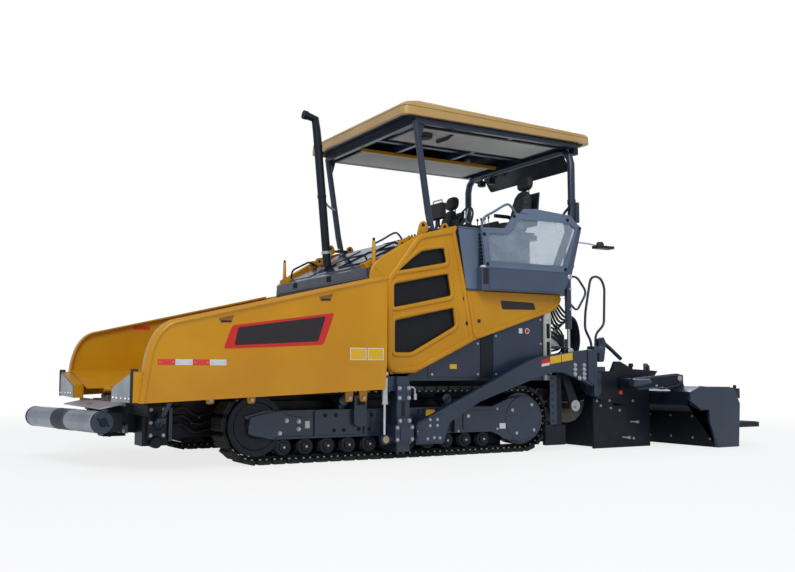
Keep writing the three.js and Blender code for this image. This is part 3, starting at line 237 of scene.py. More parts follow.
def metalFinish(name, colour, shade, rough, brushed=(1, 1, 1), scratch=0.5, metallic=1.0, rust=0.0):
    # bare metal: fine scratches along one direction, a cloudy stain, rust where asked
    f = Finish(name)
    grain = f.noise(30, 5, 0.7, stretch=brushed)
    cloud = f.noise(3.2, 5, 0.6).clip(0.35, 0.75)
    spots = f.noise(14, 6, 0.7).clip(0.52, 0.68) * rust
    steel = f.blend(cloud * 0.6 + grain * 0.3, tone(colour), tone(shade))
    return f.finish({
        "Base Color": f.blend(spots, steel, tone("5b3f2c")),
        "Metallic": metallic - spots * 0.7 * metallic,
        "Roughness": rough + grain * 0.16 + cloud * 0.08 + spots * 0.3,
        "Normal": f.bump(grain, 0.12 * scratch, 0.002, f.bump(cloud, 0.1, 0.004)),
    })


def rubberFinish(name, colour, dusty, rough=0.75, dust=0.5, grain=140):
    # moulded rubber or plastic: pebbled skin, dust caught in its hollows
    f = Finish(name)
    pebble = f.noise(grain, 3, 0.6)
    film = (f.noise(6, 6, 0.65).clip(0.35, 0.75) * 0.7 + pebble.clip(0.55, 0.75) * 0.4) * dust
    return f.finish({
        "Base Color": f.blend(film, tone(colour), tone(dusty)),
        "Roughness": rough + film * 0.2 - 0.05,
        "Normal": f.bump(pebble, 0.25, 0.0012),
    })


def glassFinish(name):
    # thin flat glass: a faint film of dust over a clear pane that mirrors more at a slant
    f = Finish(name)
    film = f.noise(5, 5, 0.6).clip(0.4, 0.8) * 0.12
    clear = f.node("BsdfTransparent", {}, {"Color": (0.9, 0.93, 0.94, 1)})
    gloss = f.node("BsdfPrincipled", {}, {
        "Base Color": tone("aebccb"), "Roughness": 0.06 + film, "Specular IOR Level": 0.8, "Alpha": 1.0})
    edge = f.node("LayerWeight", {}, {"Blend": 0.35}, "Facing")
    f.nodeOutput(f.node("MixShader", {}, {0: (edge * 0.5 + 0.34 + film).clip(0.0, 1.0), 1: clear, 2: gloss}))
    return f.material


def grilleFinish(name, colour, hole):
    # punched sheet: round holes in staggered rows, lower than the sheet, their near-black colour painted shade from
    # behind the sheet
    f = Finish(name)
    pitch = 0.014
    row = f.axis(2) / (pitch * 0.87)
    shift = (row % 2.0 > 1.0) * (pitch * 0.5)
    across = (f.axis(0) + shift) % pitch - pitch * 0.5
    rise = f.axis(2) % (pitch * 0.87) - pitch * 0.435
    inHole = 1 - (across * across + rise * rise).clip(0.000012, 0.000022)
    return f.finish({
        "Base Color": f.blend(inHole, tone(colour), tone(hole)),
        "Roughness": 0.4 + inHole * 0.4 + f.noise(8) * 0.1,
        "Metallic": 0.3,
        "Normal": f.bump(1 - inHole, 0.8, 0.003),
    })


def treadFinish(name):
    # chequered walkway plate, drawn as narrow raised bands that all run one way, diagonally
    f = Finish(name)
    checks = f.node("TexWave",
        {"wave_type": "BANDS", "bands_direction": "DIAGONAL"},
        {"Vector": f.place, "Scale": 14.0, "Distortion": 0.0})
    mask = checks.clip(0.72, 0.85)
    return f.finish({
        "Base Color": f.blend(mask, tone("23272d"), tone("4c5158")),
        "Roughness": 0.5 - mask * 0.15 + f.noise(9) * 0.1,
        "Metallic": 0.4,
        "Normal": f.bump(mask, 0.6, 0.003),
    })


def tintedFinish(name):
    # smoked sheet: a dark see-through pane with a soft gloss
    f = Finish(name)
    film = f.noise(6, 4).clip(0.4, 0.8) * 0.1
    clear = f.node("BsdfTransparent", {}, {"Color": (0.25, 0.28, 0.31, 1)})
    gloss = f.node("BsdfPrincipled", {}, {"Base Color": tone("14181e"), "Roughness": 0.15 + film, "Alpha": 1.0})
    f.nodeOutput(f.node("MixShader", {}, {0: (film + 0.6).clip(0.0, 1.0), 1: clear, 2: gloss}))
    return f.material


def lampFinish(name):
    # a lamp's lens: fluted clear plastic over a bright bowl
    f = Finish(name)
    flute = f.node("TexWave", {"wave_type": "BANDS", "bands_direction": "Z"}, {"Vector": f.place, "Scale": 60.0})
    return f.finish({
        "Base Color": f.blend(flute * 0.5, tone("dfe3e6"), tone("a9b0b6")),
        "Roughness": 0.08 + flute * 0.1,
        "Metallic": 0.4,
        "Coat Weight": 0.8,
        "Normal": f.bump(flute, 0.3, 0.002),
    })


def labelFinish(name, colour, shade):
    # printed film, left blank, a little scuffed
    f = Finish(name)
    scuff = f.noise(60, 5, 0.7).clip(0.55, 0.8)
    return f.finish({
        "Base Color": f.blend(scuff * 0.5 + f.noise(4) * 0.2, tone(colour), tone(shade)),
        "Roughness": 0.35 + scuff * 0.25,
        "Normal": f.bump(scuff, 0.05, 0.0005),
    })


def reflectorFinish(name, colour, shade):
    # reflective sheeting: a fine honeycomb under a clear face
    f = Finish(name)
    cell = f.node("TexVoronoi", {"feature": "DISTANCE_TO_EDGE"}, {"Vector": f.place, "Scale": 260.0})
    return f.finish({
        "Base Color": f.blend(cell.clip(0.0, 0.08), tone(shade), tone(colour)),
        "Roughness": 0.22 + f.noise(20, 4) * 0.1,
        "Coat Weight": 0.6,
        "Normal": f.bump(cell, 0.1, 0.0005),
    })


def vinylFinish(name):
    # seat cover: leather-like grain and creases in the normal; the crease noise also lightens the colour where
    # creases would catch the light, a painted sheen
    f = Finish(name)
    grain = f.node("TexVoronoi", {"feature": "DISTANCE_TO_EDGE"}, {"Vector": f.place, "Scale": 190.0})
    crease = f.noise(24, 4, 0.6)
    return f.finish({
        "Base Color": f.blend(crease.clip(0.4, 0.8), tone("17181b"), tone("2a2b2f")),
        "Roughness": 0.52 + crease * 0.18,
        "Normal": f.bump(grain.clip(0.0, 0.16), 0.35, 0.0011, f.bump(crease, 0.2, 0.004)),
    })


finishes = {
    "amber": paintFinish("amber_enamel", "cd8f00", "c58500", rough=0.32, coat=0.22, dust=0.4, specular=0.35),
    # a darker copy of the amber: painted shade for the wing pockets
    "amberDark": paintFinish("amber_enamel_shaded", "8a5c08", "7c5206", rough=0.4, coat=0.2),
    "amberPale": paintFinish("canopy_enamel", "c6a468", "ba9659", rough=0.42, coat=0.3, dust=0.3),
    "steelBlue": paintFinish("steel_blue_enamel", "1f2f46", "1a283c", rough=0.36, coat=0.4, dust=0.3),
    "slate": paintFinish("slate_enamel", "43536b", "3b4a60", rough=0.34, coat=0.4, dust=0.3),
    "hoodBlue": paintFinish("hood_enamel", "26364d", "1f2d42", rough=0.2, coat=0.9, dust=0.3),
    "black": paintFinish("black_enamel", "0e1624", "0b111c", rough=0.46, coat=0.1, dust=0.3, specular=0.3),
    "paleGrey": paintFinish("pale_grey_enamel", "66758c", "5a687e", rough=0.36, coat=0.3, dust=0.5),
    "ceiling": paintFinish("ceiling_lining", "d6d2c8", "c4c0b6", rough=0.6, coat=0.0, dust=0.2),
    "stainless": metalFinish("brushed_stainless", "a3a9b2", "7d858f", 0.15, brushed=(1, 0.02, 1)),
    "deflector": metalFinish("brushed_plate", "c2c5ca", "9ea3aa", 0.3, brushed=(0.1, 3, 0.1), scratch=0.8),
    "chrome": metalFinish("hard_chrome", "d5d8dc", "bfc3c8", 0.08, brushed=(1, 1, 0.05), scratch=0.2),
    "wornSteel": metalFinish("worn_steel", "77736c", "4e4a45", 0.42, brushed=(0.2, 1.2, 1), rust=0.55),
    "zinc": metalFinish("zinc_plate", "c9ccce", "aaadaf", 0.32, scratch=0.4, metallic=0.8),
    "rubber": rubberFinish("track_rubber", "0f1217", "33353a", 0.74, 0.5),
    "tread": treadFinish("tread_plate"),
    "tinted": tintedFinish("tinted_visor"),
    "rack": paintFinish("rack_paint", "c9cac2", "b4b5ad", rough=0.45, coat=0.1, dust=0.3),
    "pinCap": paintFinish("pin_cap_paint", "b9a583", "a08c6a", rough=0.5, coat=0.1, dust=0.3),
    "trackSteel": metalFinish("track_steel", "1d1f22", "2e2b27", 0.5, scratch=0.6, metallic=0.6),
    # painted shade: the near-black fill of holes, slots, notches and windows stands for the shade inside them
    "hole": rubberFinish("painted_shade_opening", "050608", "0a0b0d", 0.9, 0.1, 200),
    "hose": rubberFinish("hose_rubber", "0f1012", "33312d", 0.5, 0.25, 240),
    "plastic": rubberFinish("moulded_plastic", "17191d", "3a3b3d", 0.5, 0.2, 300),
    "glass": glassFinish("clear_glass"),
    "vinyl": vinylFinish("seat_vinyl"),
    "brass": metalFinish("plated_brass", "b08a3e", "8f6c2c", 0.3, scratch=0.4),
    # the second colour is painted shade in the punched holes
    "mesh": grilleFinish("perforated_sheet", "15181c", "05060a"),
    "lamp": lampFinish("lamp_lens"),
    "labelDark": labelFinish("blank_label_dark", "20191d", "2e2328"),
    "labelWhite": labelFinish("blank_label_white", "d9d9d4", "bdbdb8"),
    "labelYellow": labelFinish("blank_label_yellow", "e0b21e", "c79a12"),
    "labelRed": labelFinish("blank_label_red", "cf2219", "a81a13"),
    "reflectRed": reflectorFinish("red_reflector", "e2331c", "ac2412"),
    "reflectWhite": reflectorFinish("white_reflector", "d8dadb", "aeb1b4"),
}
print("finishes made:", len(finishes))


# mesh helpers

forward, sideways, upward = (1, 0, 0), (0, 1, 0), (0, 0, 1)


def fullTurn(count):
    # evenly spaced angles round a circle
    return np.linspace(0, 2 * np.pi, count, endpoint=False)


def meshPiece(name, points, faces, finish, body, slot=None, sharp=35, bevel=0.0):
    # a closed mesh of points, x from the marker, that rides on a body; edges sharper than the angle stay crisp
    mesh = bpy.data.meshes.new(name)
    mesh.from_pydata(fromMarker(points).tolist(), [], [list(map(int, face)) for face in faces])
    mesh.validate()
    return shownPiece(name, mesh, finish, body, sharp, bevel)


def shownPiece(name, mesh, finish, body, sharp=35, bevel=0.0):
    mesh.shade_smooth()
    mesh.set_sharp_from_angle(angle=math.radians(sharp))
    piece = bpy.data.objects.new(name, mesh)
    bpy.context.scene.collection.objects.link(piece)
    mesh.materials.append(finishes[finish])
    if bevel:
        rounding = piece.modifiers.new("rounding", "BEVEL")
        rounding.width, rounding.segments = bevel, 2
        rounding.limit_method, rounding.angle_limit = "ANGLE", math.radians(sharp)
        rounding.harden_normals = True
    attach(piece, body)
    return piece


def gridFaces(rows, columns, closeRows, closeColumns, start=0):
    # quads between neighbouring rows and columns of a grid of points, wrapping where asked
    r = np.arange(rows if closeRows else rows - 1)
    c = np.arange(columns if closeColumns else columns - 1)
    a, b = np.meshgrid(r, c, indexing="ij")
    a2, b2 = (a + 1) % rows, (b + 1) % columns
    quads = np.stack([a * columns + b, a2 * columns + b, a2 * columns + b2, a * columns + b2], -1)
    return (quads.reshape(-1, 4) + start).tolist()


def tubeAlong(path, profile, closed=False, capped=True, up=upward):
    # profile (u, v) carried along the path: point = path + u * side + v * rise, side and rise square to the path
    path, profile = np.asarray(path, float), np.asarray(profile, float)
    ahead = np.roll(path, -1, 0) - np.roll(path, 1, 0) if closed else np.gradient(path, axis=0)
    ahead /= np.linalg.norm(ahead, axis=1)[:, None]
    side = np.cross(ahead, np.asarray(up, float))
    length = np.linalg.norm(side, axis=1)
    side[length < 1e-6] = np.cross(ahead[length < 1e-6], (1.0, 0.0, 0.0))
    side /= np.linalg.norm(side, axis=1)[:, None]
    rise = np.cross(side, ahead)
    points = path[:, None] + profile[None, :, 0, None] * side[:, None] + profile[None, :, 1, None] * rise[:, None]
    n, m = len(path), len(profile)
    faces = gridFaces(n, m, closed, True)
    if capped and not closed:
        faces += [list(range(m)), list(range((n - 1) * m, n * m))[::-1]]
    return points.reshape(-1, 3), faces


def ring(radius, count=20):
    # a circle of points, radius * (cos t, sin t)
    t = fullTurn(count)
    return np.stack([radius * np.cos(t), radius * np.sin(t)], 1)


def smoothPath(corners, steps=8):
    # Catmull-Rom curve through the corners, steps points to a span
    p = np.asarray(corners, float)
    p = np.vstack([2 * p[0] - p[1], p, 2 * p[-1] - p[-2]])
    t = np.linspace(0, 1, steps, endpoint=False)[:, None]
    spans = []
    for a, b, c, d in zip(p, p[1:], p[2:], p[3:]):
        spans.append(0.5 * (2 * b + (c - a) * t + (2 * a - 5 * b + 4 * c - d) * t ** 2
                            + (3 * b - a - 3 * c + d) * t ** 3))
    return np.vstack(spans + [p[-2:-1]])


def filletPath(corners, radius, steps=6):
    # straight runs whose corners are quadratic curves that start a radius before each corner
    p = [np.asarray(c, float) for c in corners]
    run = [p[0][None]]
    t = np.linspace(0, 1, steps)[:, None]
    for a, b, c in zip(p, p[1:], p[2:]):
        start = b + (a - b) * min(radius / np.linalg.norm(a - b), 0.49)
        end = b + (c - b) * min(radius / np.linalg.norm(c - b), 0.49)
        run.append((1 - t) ** 2 * start + 2 * t * (1 - t) * b + t ** 2 * end)
    return np.vstack(run + [p[-1][None]])


def lathe(profile, centre, direction, count=32):
    # (along, radius) pairs turned about a line: point = centre + along * d + radius * (cos t * a + sin t * b)
    profile = np.asarray(profile, float)
    d = np.asarray(direction, float) / np.linalg.norm(direction)
    a = np.cross(d, upward if abs(d[2]) < 0.9 else forward)
    a /= np.linalg.norm(a)
    b = np.cross(d, a)
    t = fullTurn(count)
    around = np.cos(t)[:, None] * a + np.sin(t)[:, None] * b
    points = np.asarray(centre, float) + profile[:, None, 0, None] * d + profile[:, None, 1, None] * around[None]
    n = len(profile)
    faces = [f[::-1] for f in gridFaces(n, count, False, True)]
    faces += [list(range(count)), list(range((n - 1) * count, n * count))[::-1]]
    return points.reshape(-1, 3), faces


def slab(outline, low, high, plane="xz"):
    # an outline carried straight between two depths: y for a side plate, x for a cross plate, z for a flat one
    outline = np.asarray(outline, float)
    area = 0.5 * np.sum(outline[:, 0] * np.roll(outline[:, 1], -1) - np.roll(outline[:, 0], -1) * outline[:, 1])
    if area < 0:
        outline = outline[::-1]
    low, high = min(low, high), max(low, high)
    n = len(outline)
    order = {"xz": (0, 2, 1), "yz": (1, 2, 0), "xy": (0, 1, 2)}[plane]
    points = np.zeros((2 * n, 3))
    for part, depth in ((slice(0, n), low), (slice(n, 2 * n), high)):
        points[part, order[0]], points[part, order[1]], points[part, order[2]] = outline[:, 0], outline[:, 1], depth
    walls = [[i, (i + 1) % n, n + (i + 1) % n, n + i] for i in range(n)]
    faces = walls + [list(range(n))[::-1], list(range(n, 2 * n))]
    if plane == "xz":
        faces = [f[::-1] for f in faces]
    return points, faces


def gather(*parts):
    # several (points, faces) as one
    points, faces, count = [], [], 0
    for p, f in parts:
        points.append(np.asarray(p, float))
        faces += [[i + count for i in face] for face in f]
        count += len(p)
    return np.vstack(points), faces


def repeated(shape, places, turns=None):
    # copies of a small shape: point = turn * point + place
    p, f = shape
    places = np.asarray(places, float)
    turned = np.einsum("kij,nj->kni", turns, p) if turns is not None else np.repeat(p[None], len(places), 0)
    points = (turned + places[:, None]).reshape(-1, 3)
    faces = [[i + k * len(p) for i in face] for k in range(len(places)) for face in f]
    return points, faces


sides = {"left": 1, "right": -1}


def mirrored(shape):
    # the same shape on the other side, its faces turned back outwards
    p, f = shape
    return np.asarray(p, float) * (1, -1, 1), [face[::-1] for face in f]


def boltShape(size, height, direction):
    # hexagonal head with a chamfered top, standing along a direction
    r = size / 2
    return lathe([(-0.3 * height, r), (0.75 * height, r), (height, 0.86 * r)], (0, 0, 0), direction, 6)


def bothSides(name, shape, finish, body, slot=None, sharp=35, bevel=0.0):
    # a left piece and its mirrored right one; body may name each side's own body with {}
    for side, made in zip(sides, (shape, mirrored(shape))):
        meshPiece(f"{name}_{side}", *made, finish, body.format(side), slot, sharp, bevel)


# the model's own nodes, dressed

def dressNode(node, finish, bevel=0.004, sharp=30):
    # the node's shape with its doubles merged, its flat facets joined and its edges rounded
    mesh = nodes[node].data.copy()
    mesh.materials.clear()
    work = bmesh.new()
    work.from_mesh(mesh)
    bmesh.ops.remove_doubles(work, verts=work.verts, dist=1e-5)
    bmesh.ops.dissolve_limit(work, angle_limit=math.radians(0.6), verts=work.verts, edges=work.edges)
    work.to_mesh(mesh)
    work.free()
    for name in [a.name for a in mesh.attributes if a.name == "custom_normal"]:
        mesh.attributes.remove(mesh.attributes[name])
    body = nodes[node]["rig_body"]
    piece = shownPiece(node + "_dressed", mesh, finish, body, sharp, bevel)
    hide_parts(node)
    return piece


nodeFinishes = {
    "amber": ["hopper_wing", "engine_door", "rear_panel"],
    "steelBlue": ["track_frame", "tow_guide", "tow_point", "tow_arm", "side_compartment", "lift_barrel",
    "end_gate"],
    "black": ["screed_extension", "door_grille"],
    "stainless": ["push_roller"],
    "deflector": ["wing_deflector"],
    "chrome": ["lift_rod"],
    "wornSteel": ["auger"],
    "paleGrey": ["side_screen"],
    "glass": ["side_glass"],
}
singleFinishes = {
    "chassis_frame": "black", "conveyor_floor": "wornSteel", "hopper_back_wall": "black", "front_lip": "deflector",
    "push_beam": "black", "engine_block": "black", "engine_hood": "hoodBlue", "hood_hatch": "hoodBlue",
    "platform_deck": "slate", "canopy_frame": "steelBlue", "exhaust_pipe": "black",
    "auger_carrier": "black", "screed_base": "black",
}
for finish, stems in nodeFinishes.items():
    for stem in stems:
        for side in sides:
            dressNode(f"{stem}_{side}", finish)
for node, finish in singleFinishes.items():
    dressNode(node, finish)
print("nodes dressed")


# small shapes used all over the machine

def outward(shape):
    # a closed shape with its faces turned to the outside, judged by the sign of its volume
    p, f = shape
    p = np.asarray(p, float)
    total = sum(np.dot(p[a[0]], np.cross(p[a[i]], p[a[i + 1]])) for a in f for i in range(1, len(a) - 1))
    return (p, f) if total > 0 else (p, [a[::-1] for a in f])


def hoop(profile, centre, direction, count=40):
    # a ring-shaped turning: the profile is a closed loop, so nothing fills the middle
    points, _ = lathe(profile, centre, direction, count)
    return outward((points, gridFaces(len(profile), count, True, True)))


def tube(corners, radius, fillet=0.05, count=12, up=sideways, steps=6):
    # a round tube along straight runs with rounded corners
    return outward(tubeAlong(filletPath(corners, fillet, steps), ring(radius, count), up=up))


def hosePath(corners, radius, count=10):
    # a hose through the corners, bending smoothly
    return outward(tubeAlong(smoothPath(corners, 10), ring(radius, count), up=(0.3, 1, 0.2)))


def plate(outline, y0, y1, plane="xz"):
    return outward(slab(outline, y0, y1, plane))


def box(x0, x1, y0, y1, z0, z1):
    rear, front, low, high = min(x0, x1), max(x0, x1), min(z0, z1), max(z0, z1)
    return plate([(rear, low), (front, low), (front, high), (rear, high)], y0, y1)


def spun(profile, centre, direction, count=32):
    # a closed turning whose faces look outwards
    return outward(lathe(profile, centre, direction, count))


def bolts(spots, size=0.03, height=0.014, direction=sideways):
    # hexagonal heads at (x, y, z) points, each standing on its washer
    head = outward(boltShape(size, height, direction))
    washer = spun([(-0.002, size * 0.62), (0.003, size * 0.62)], (0, 0, 0), direction, 16)
    return repeated(gather(head, washer), spots)


def sideBolts(pairs, y, size, height):
    # bolts at (x, z) pairs on a side face
    return bolts([(x, y, z) for x, z in pairs], size, height)


def roundedRing(corners, radius, steps=5):
    # a closed outline of (x, z) corners, each replaced by a quadratic curve
    p = [np.asarray(c, float) for c in corners]
    t = np.linspace(0, 1, steps)[:, None]
    run = []
    for i, b in enumerate(p):
        a, c = p[i - 1], p[(i + 1) % len(p)]
        start = b + (a - b) * min(radius / np.linalg.norm(a - b), 0.45)
        end = b + (c - b) * min(radius / np.linalg.norm(c - b), 0.45)
        run.append((1 - t) ** 2 * start + 2 * t * (1 - t) * b + t ** 2 * end)
    return np.vstack(run)


def edging(outline, y, section):
    # a thin section carried round an outline of (x, z) points on a side face
    path = np.stack([outline[:, 0], np.full(len(outline), y), outline[:, 1]], 1)
    return outward(tubeAlong(path, section, closed=True, up=sideways))


def framing(corners, y, width, height, radius):
    # a rounded bead around a window: half an ellipse carried round the outline
    t = np.linspace(0, np.pi, 9)
    bead = np.vstack([np.stack([width / 2 * np.cos(t), height * np.sin(t) ** 0.8], 1),
        [(-width / 2, -0.004), (width / 2, -0.004)]])
    return edging(roundedRing(corners, radius), y, bead)


# hopper wings: the shaped outer skin, marker tiles, blank panels and labels, pockets
wing = "hopper_wing_{}"
wingSkin = {"side": 1.6, "back": 1.5995, "rear": -2.3, "base": 0.034, "foot": 0.0015, "rimPeak": 0.02,
    "rimAt": 0.032, "rimWidth": 0.017, "strip": 0.08, "columns": 110}


wingNose = {"start": (-0.195, 1.37), "pull": (0.092, 1.33), "end": (0.118, 0.823), "fall": 0.2355}


def wingFloor(x):
    # height of the wing's lower edge
    return 0.722 - (x + 2.3) * 0.04218


def wingCrease(x):
    # height of the fold where the tapered skirt meets the flat side
    return 0.918 + (0.098 - x) * 0.0449


def wingEdge(count):
    # along the sloping top, round the quadratic nose and down the front to the lower corner
    start, pull, end = (np.array(wingNose[key]) for key in ("start", "pull", "end"))
    slope = np.linspace((-2.3, 1.8657), start, count)
    t = np.linspace(0, 1, count // 2)[1:, None]
    nose = (1 - t) ** 2 * start + 2 * t * (1 - t) * pull + t ** 2 * end
    front = np.linspace(end, (0.142, 0.619), 12)[1:]
    return np.vstack([slope, nose, front])


def wingSkinShape(setup):
    edge = wingEdge(setup["columns"] // 2)
    ahead = np.gradient(edge, axis=0)
    ahead /= np.linalg.norm(ahead, axis=1)[:, None]
    inwards = np.stack([ahead[:, 1], -ahead[:, 0]], 1)
    inner = edge + inwards * setup["strip"]
    inner[:, 0] = np.maximum(inner[:, 0], setup["rear"])
    floor = np.stack([inner[:, 0], wingFloor(inner[:, 0])], 1)
    inner[:, 1] = np.maximum(inner[:, 1], floor[:, 1])
    crease = np.stack([inner[:, 0], np.minimum(wingCrease(inner[:, 0]), inner[:, 1])], 1)
    rows = [edge + (inner - edge) * b for b in np.linspace(0, 1, 11)]
    rows += [inner + (crease - inner) * b for b in np.linspace(0, 1, 7)[1:]]
    rows += [crease + (floor - crease) * b for b in np.linspace(0, 1, 6)[1:]]
    depth = np.concatenate([np.linspace(0, setup["strip"], 11), np.full(11, 0.2)])
    grid = np.stack(rows)
    low, line = wingFloor(grid[..., 0]), wingCrease(grid[..., 0])
    rise = np.clip((grid[..., 1] - low) / (line - low), 0, 1)
    out = setup["foot"] + (setup["base"] - setup["foot"]) * rise
    rim = setup["rimPeak"] * np.exp(-((depth - setup["rimAt"]) / setup["rimWidth"]) ** 2)
    out = (out + rim[:, None]) * (0.25 + 0.75 * np.clip(depth / 0.022, 0, 1) ** 0.5)[:, None]
    outer = np.stack([grid[..., 0], setup["side"] + out, grid[..., 1]], -1)
    back = np.stack([grid[..., 0], np.full(out.shape, setup["back"]), grid[..., 1]], -1)
    n, m = out.shape
    border = list(range(m)) + [i * m + m - 1 for i in range(1, n)]
    border += [(n - 1) * m + j for j in range(m - 2, -1, -1)] + [i * m for i in range(n - 2, 0, -1)]
    walls = [[a, b, n * m + b, n * m + a] for a, b in zip(border, border[1:] + border[:1])]
    front = gridFaces(n, m, False, False)
    rear = [[i + n * m for i in face][::-1] for face in front]
    points = np.vstack([outer.reshape(-1, 3), back.reshape(-1, 3)])
    return outward((points, front + rear + [w[::-1] for w in walls]))


bothSides("wing_skin", wingSkinShape(wingSkin), "amber", wing, sharp=24)

wingFace = wingSkin["side"] + wingSkin["base"]
wingMarks = {"tiles": 4, "pitch": 0.157, "z": (0.953, 1.005), "thick": 0.0015}
for index in range(wingMarks["tiles"]):
    x0 = -index * wingMarks["pitch"]
    tile = box(x0 - 0.001, x0 - 0.156, wingFace, wingFace + wingMarks["thick"], *wingMarks["z"])
    bothSides(f"wing_marker_{index}", tile, "reflectRed" if index % 2 == 0 else "reflectWhite", wing)
    pins = sideBolts([(x0 - 0.02, 0.979), (x0 - 0.137, 0.979)], wingFace + wingMarks["thick"], 0.008, 0.002)
    bothSides(f"wing_marker_rivets_{index}", pins, "zinc", wing)

panelFace = plate(roundedRing([(-0.596, 1.101), (-0.678, 1.316), (-1.714, 1.464), (-1.598, 1.152)], 0.03),
    wingFace - 0.001, wingFace + 0.0012)
panelCore = plate(roundedRing([(-0.70, 1.135), (-0.735, 1.30), (-1.62, 1.428), (-1.54, 1.185)], 0.02),
    wingFace, wingFace + 0.002)
bothSides("wing_panel_edge", panelFace, "labelRed", wing)
bothSides("wing_panel", panelCore, "labelDark", wing)
for index, (x0, x1) in enumerate([(-1.885, -2.065), (-2.08, -2.26)]):
    bothSides(f"wing_label_frame_{index}", box(x0, x1, wingFace, wingFace + 0.001, 1.01, 1.13), "labelWhite", wing)
    bothSides(f"wing_label_{index}",
        box(x0 - 0.008, x1 + 0.008, wingFace + 0.0005, wingFace + 0.0018, 1.018, 1.122), "labelYellow", wing)


def slotCover(x, z, tilt=wingNose["fall"]):
    # a trapezoid cover that follows the fall of the top edge
    shift = lambda a, b: (x + a, z + b - a * tilt)
    return plate([shift(-0.075, 0.0), shift(0.075, 0.0), shift(0.05, -0.05), shift(-0.05, -0.05)],
        wingFace - 0.002, wingFace + 0.0045)


# the pockets: a raised cover in the darker amber and a black lip under it, painted shade of a recess
for index, x in enumerate((-0.62, -1.62)):
    top = 1.37 - (x + 0.195) * wingNose["fall"] - 0.075
    bothSides(f"wing_pocket_{index}", slotCover(x, top), "amberDark", wing, bevel=0.003)
    ledge = plate([(x - 0.05, top - 0.036), (x + 0.05, top - 0.036), (x + 0.045, top - 0.05),
        (x - 0.045, top - 0.05)], wingFace, wingFace + 0.007)
    bothSides(f"wing_pocket_lip_{index}", ledge, "black", wing)
inside = box(-0.62, -0.82, 1.584, 1.5858, 1.40, 1.445)
bothSides("wing_inner_reflector", inside, "reflectRed", wing)

# lifting eyes and cylinder pins under the wings
for index, x in enumerate((-0.55, -0.95, -1.98, -2.14)):
    ear = plate(roundedRing([(x - 0.05, 0.74), (x + 0.05, 0.74), (x + 0.035, 0.60), (x - 0.035, 0.60)], 0.02),
        1.42, 1.44)
    bothSides(f"wing_ear_{index}", ear, "amber", wing, bevel=0.002)
    pin = spun([(0, 0.016), (0.05, 0.016)], (x, 1.405, 0.635), sideways, 16)
    bothSides(f"wing_ear_pin_{index}", pin, "zinc", wing)

# guard plates at the front corners: a row of bolts and a rubber edge
bothSides("deflector_bolts", bolts([(0.2073, y, 0.655) for y in (0.95, 1.08, 1.24, 1.40, 1.52)],
    0.032, 0.012, forward), "zinc", wing)
rubberEdge = plate([(1.56, 0.62), (1.575, 0.62), (1.588, 0.90), (1.572, 0.92), (1.555, 0.86)], 0.15, 0.215, "yz")
bothSides("deflector_rubber", rubberEdge, "hose", wing, bevel=0.003)

# push rollers: end discs, collars and bands; the beam's ends, bolts and pin cap, all on the turned beam
beam = {"x": 0.165, "z": 0.43, "turn": math.radians(10.5)}


def onBeam(shape):
    # from the beam's own directions to the machine's: turned about the upright pin, then moved to it
    p, f = shape
    c, s = math.cos(beam["turn"]), math.sin(beam["turn"])
    p = np.asarray(p, float)
    return np.stack([beam["x"] + c * p[:, 0] - s * p[:, 1], s * p[:, 0] + c * p[:, 1], beam["z"] + p[:, 2]], 1), f


for side, s in sides.items():
    disc = spun([(0.0, 0.1025), (0.012, 0.1025), (0.02, 0.096), (0.02, 0.045), (0.012, 0.04), (0.012, 0.004)],
        (0.277, s * 0.85, 0), (0, s, 0), 40)
    meshPiece(f"roller_disc_{side}", *onBeam(disc), "steelBlue", "push_beam")
    # the disc's holes are black discs: painted shade inside each hole
    holes = [spun([(0.0, 0.014), (0.0206, 0.014)], (0.277 + a, s * 0.85, b), (0, s, 0), 16)
        for a, b in ((0.05, 0.03), (-0.05, -0.03))]
    meshPiece(f"roller_disc_holes_{side}", *onBeam(gather(*holes)), "black", "push_beam")
    collar = spun([(0.0, 0.1062), (0.018, 0.1062), (0.018, 0.103), (0.0, 0.103)], (0.277, s * 0.142, 0), (0, s, 0),
        40)
    meshPiece(f"roller_collar_{side}", *onBeam(collar), "steelBlue", f"push_roller_{side}")
    band = spun([(0.0, 0.1045), (0.012, 0.1045)], (0.277, s * 0.798, 0), (0, s, 0), 40)
    meshPiece(f"roller_band_{side}", *onBeam(band), "zinc", f"push_roller_{side}")
    arm = plate([(0.12, -0.09), (0.277, -0.09), (0.36, -0.04), (0.36, 0.04), (0.277, 0.09), (0.12, 0.09)],
        s * 0.852, s * 0.868)
    meshPiece(f"beam_end_{side}", *onBeam(arm), "black", "push_beam", bevel=0.004)
beamBolts = bolts([(0.1655, y, z) for y in (-0.60, -0.35, 0.35, 0.60) for z in (-0.055, 0.05)],
    0.034, 0.016, forward)
meshPiece("beam_bolts", *onBeam(beamBolts), "zinc", "push_beam")
meshPiece("beam_pin_cap", *spun([(0, 0.08), (0.02, 0.08), (0.03, 0.05), (0.03, 0.004)], (0.165, 0, 0.548),
    upward, 24), "black", "root")

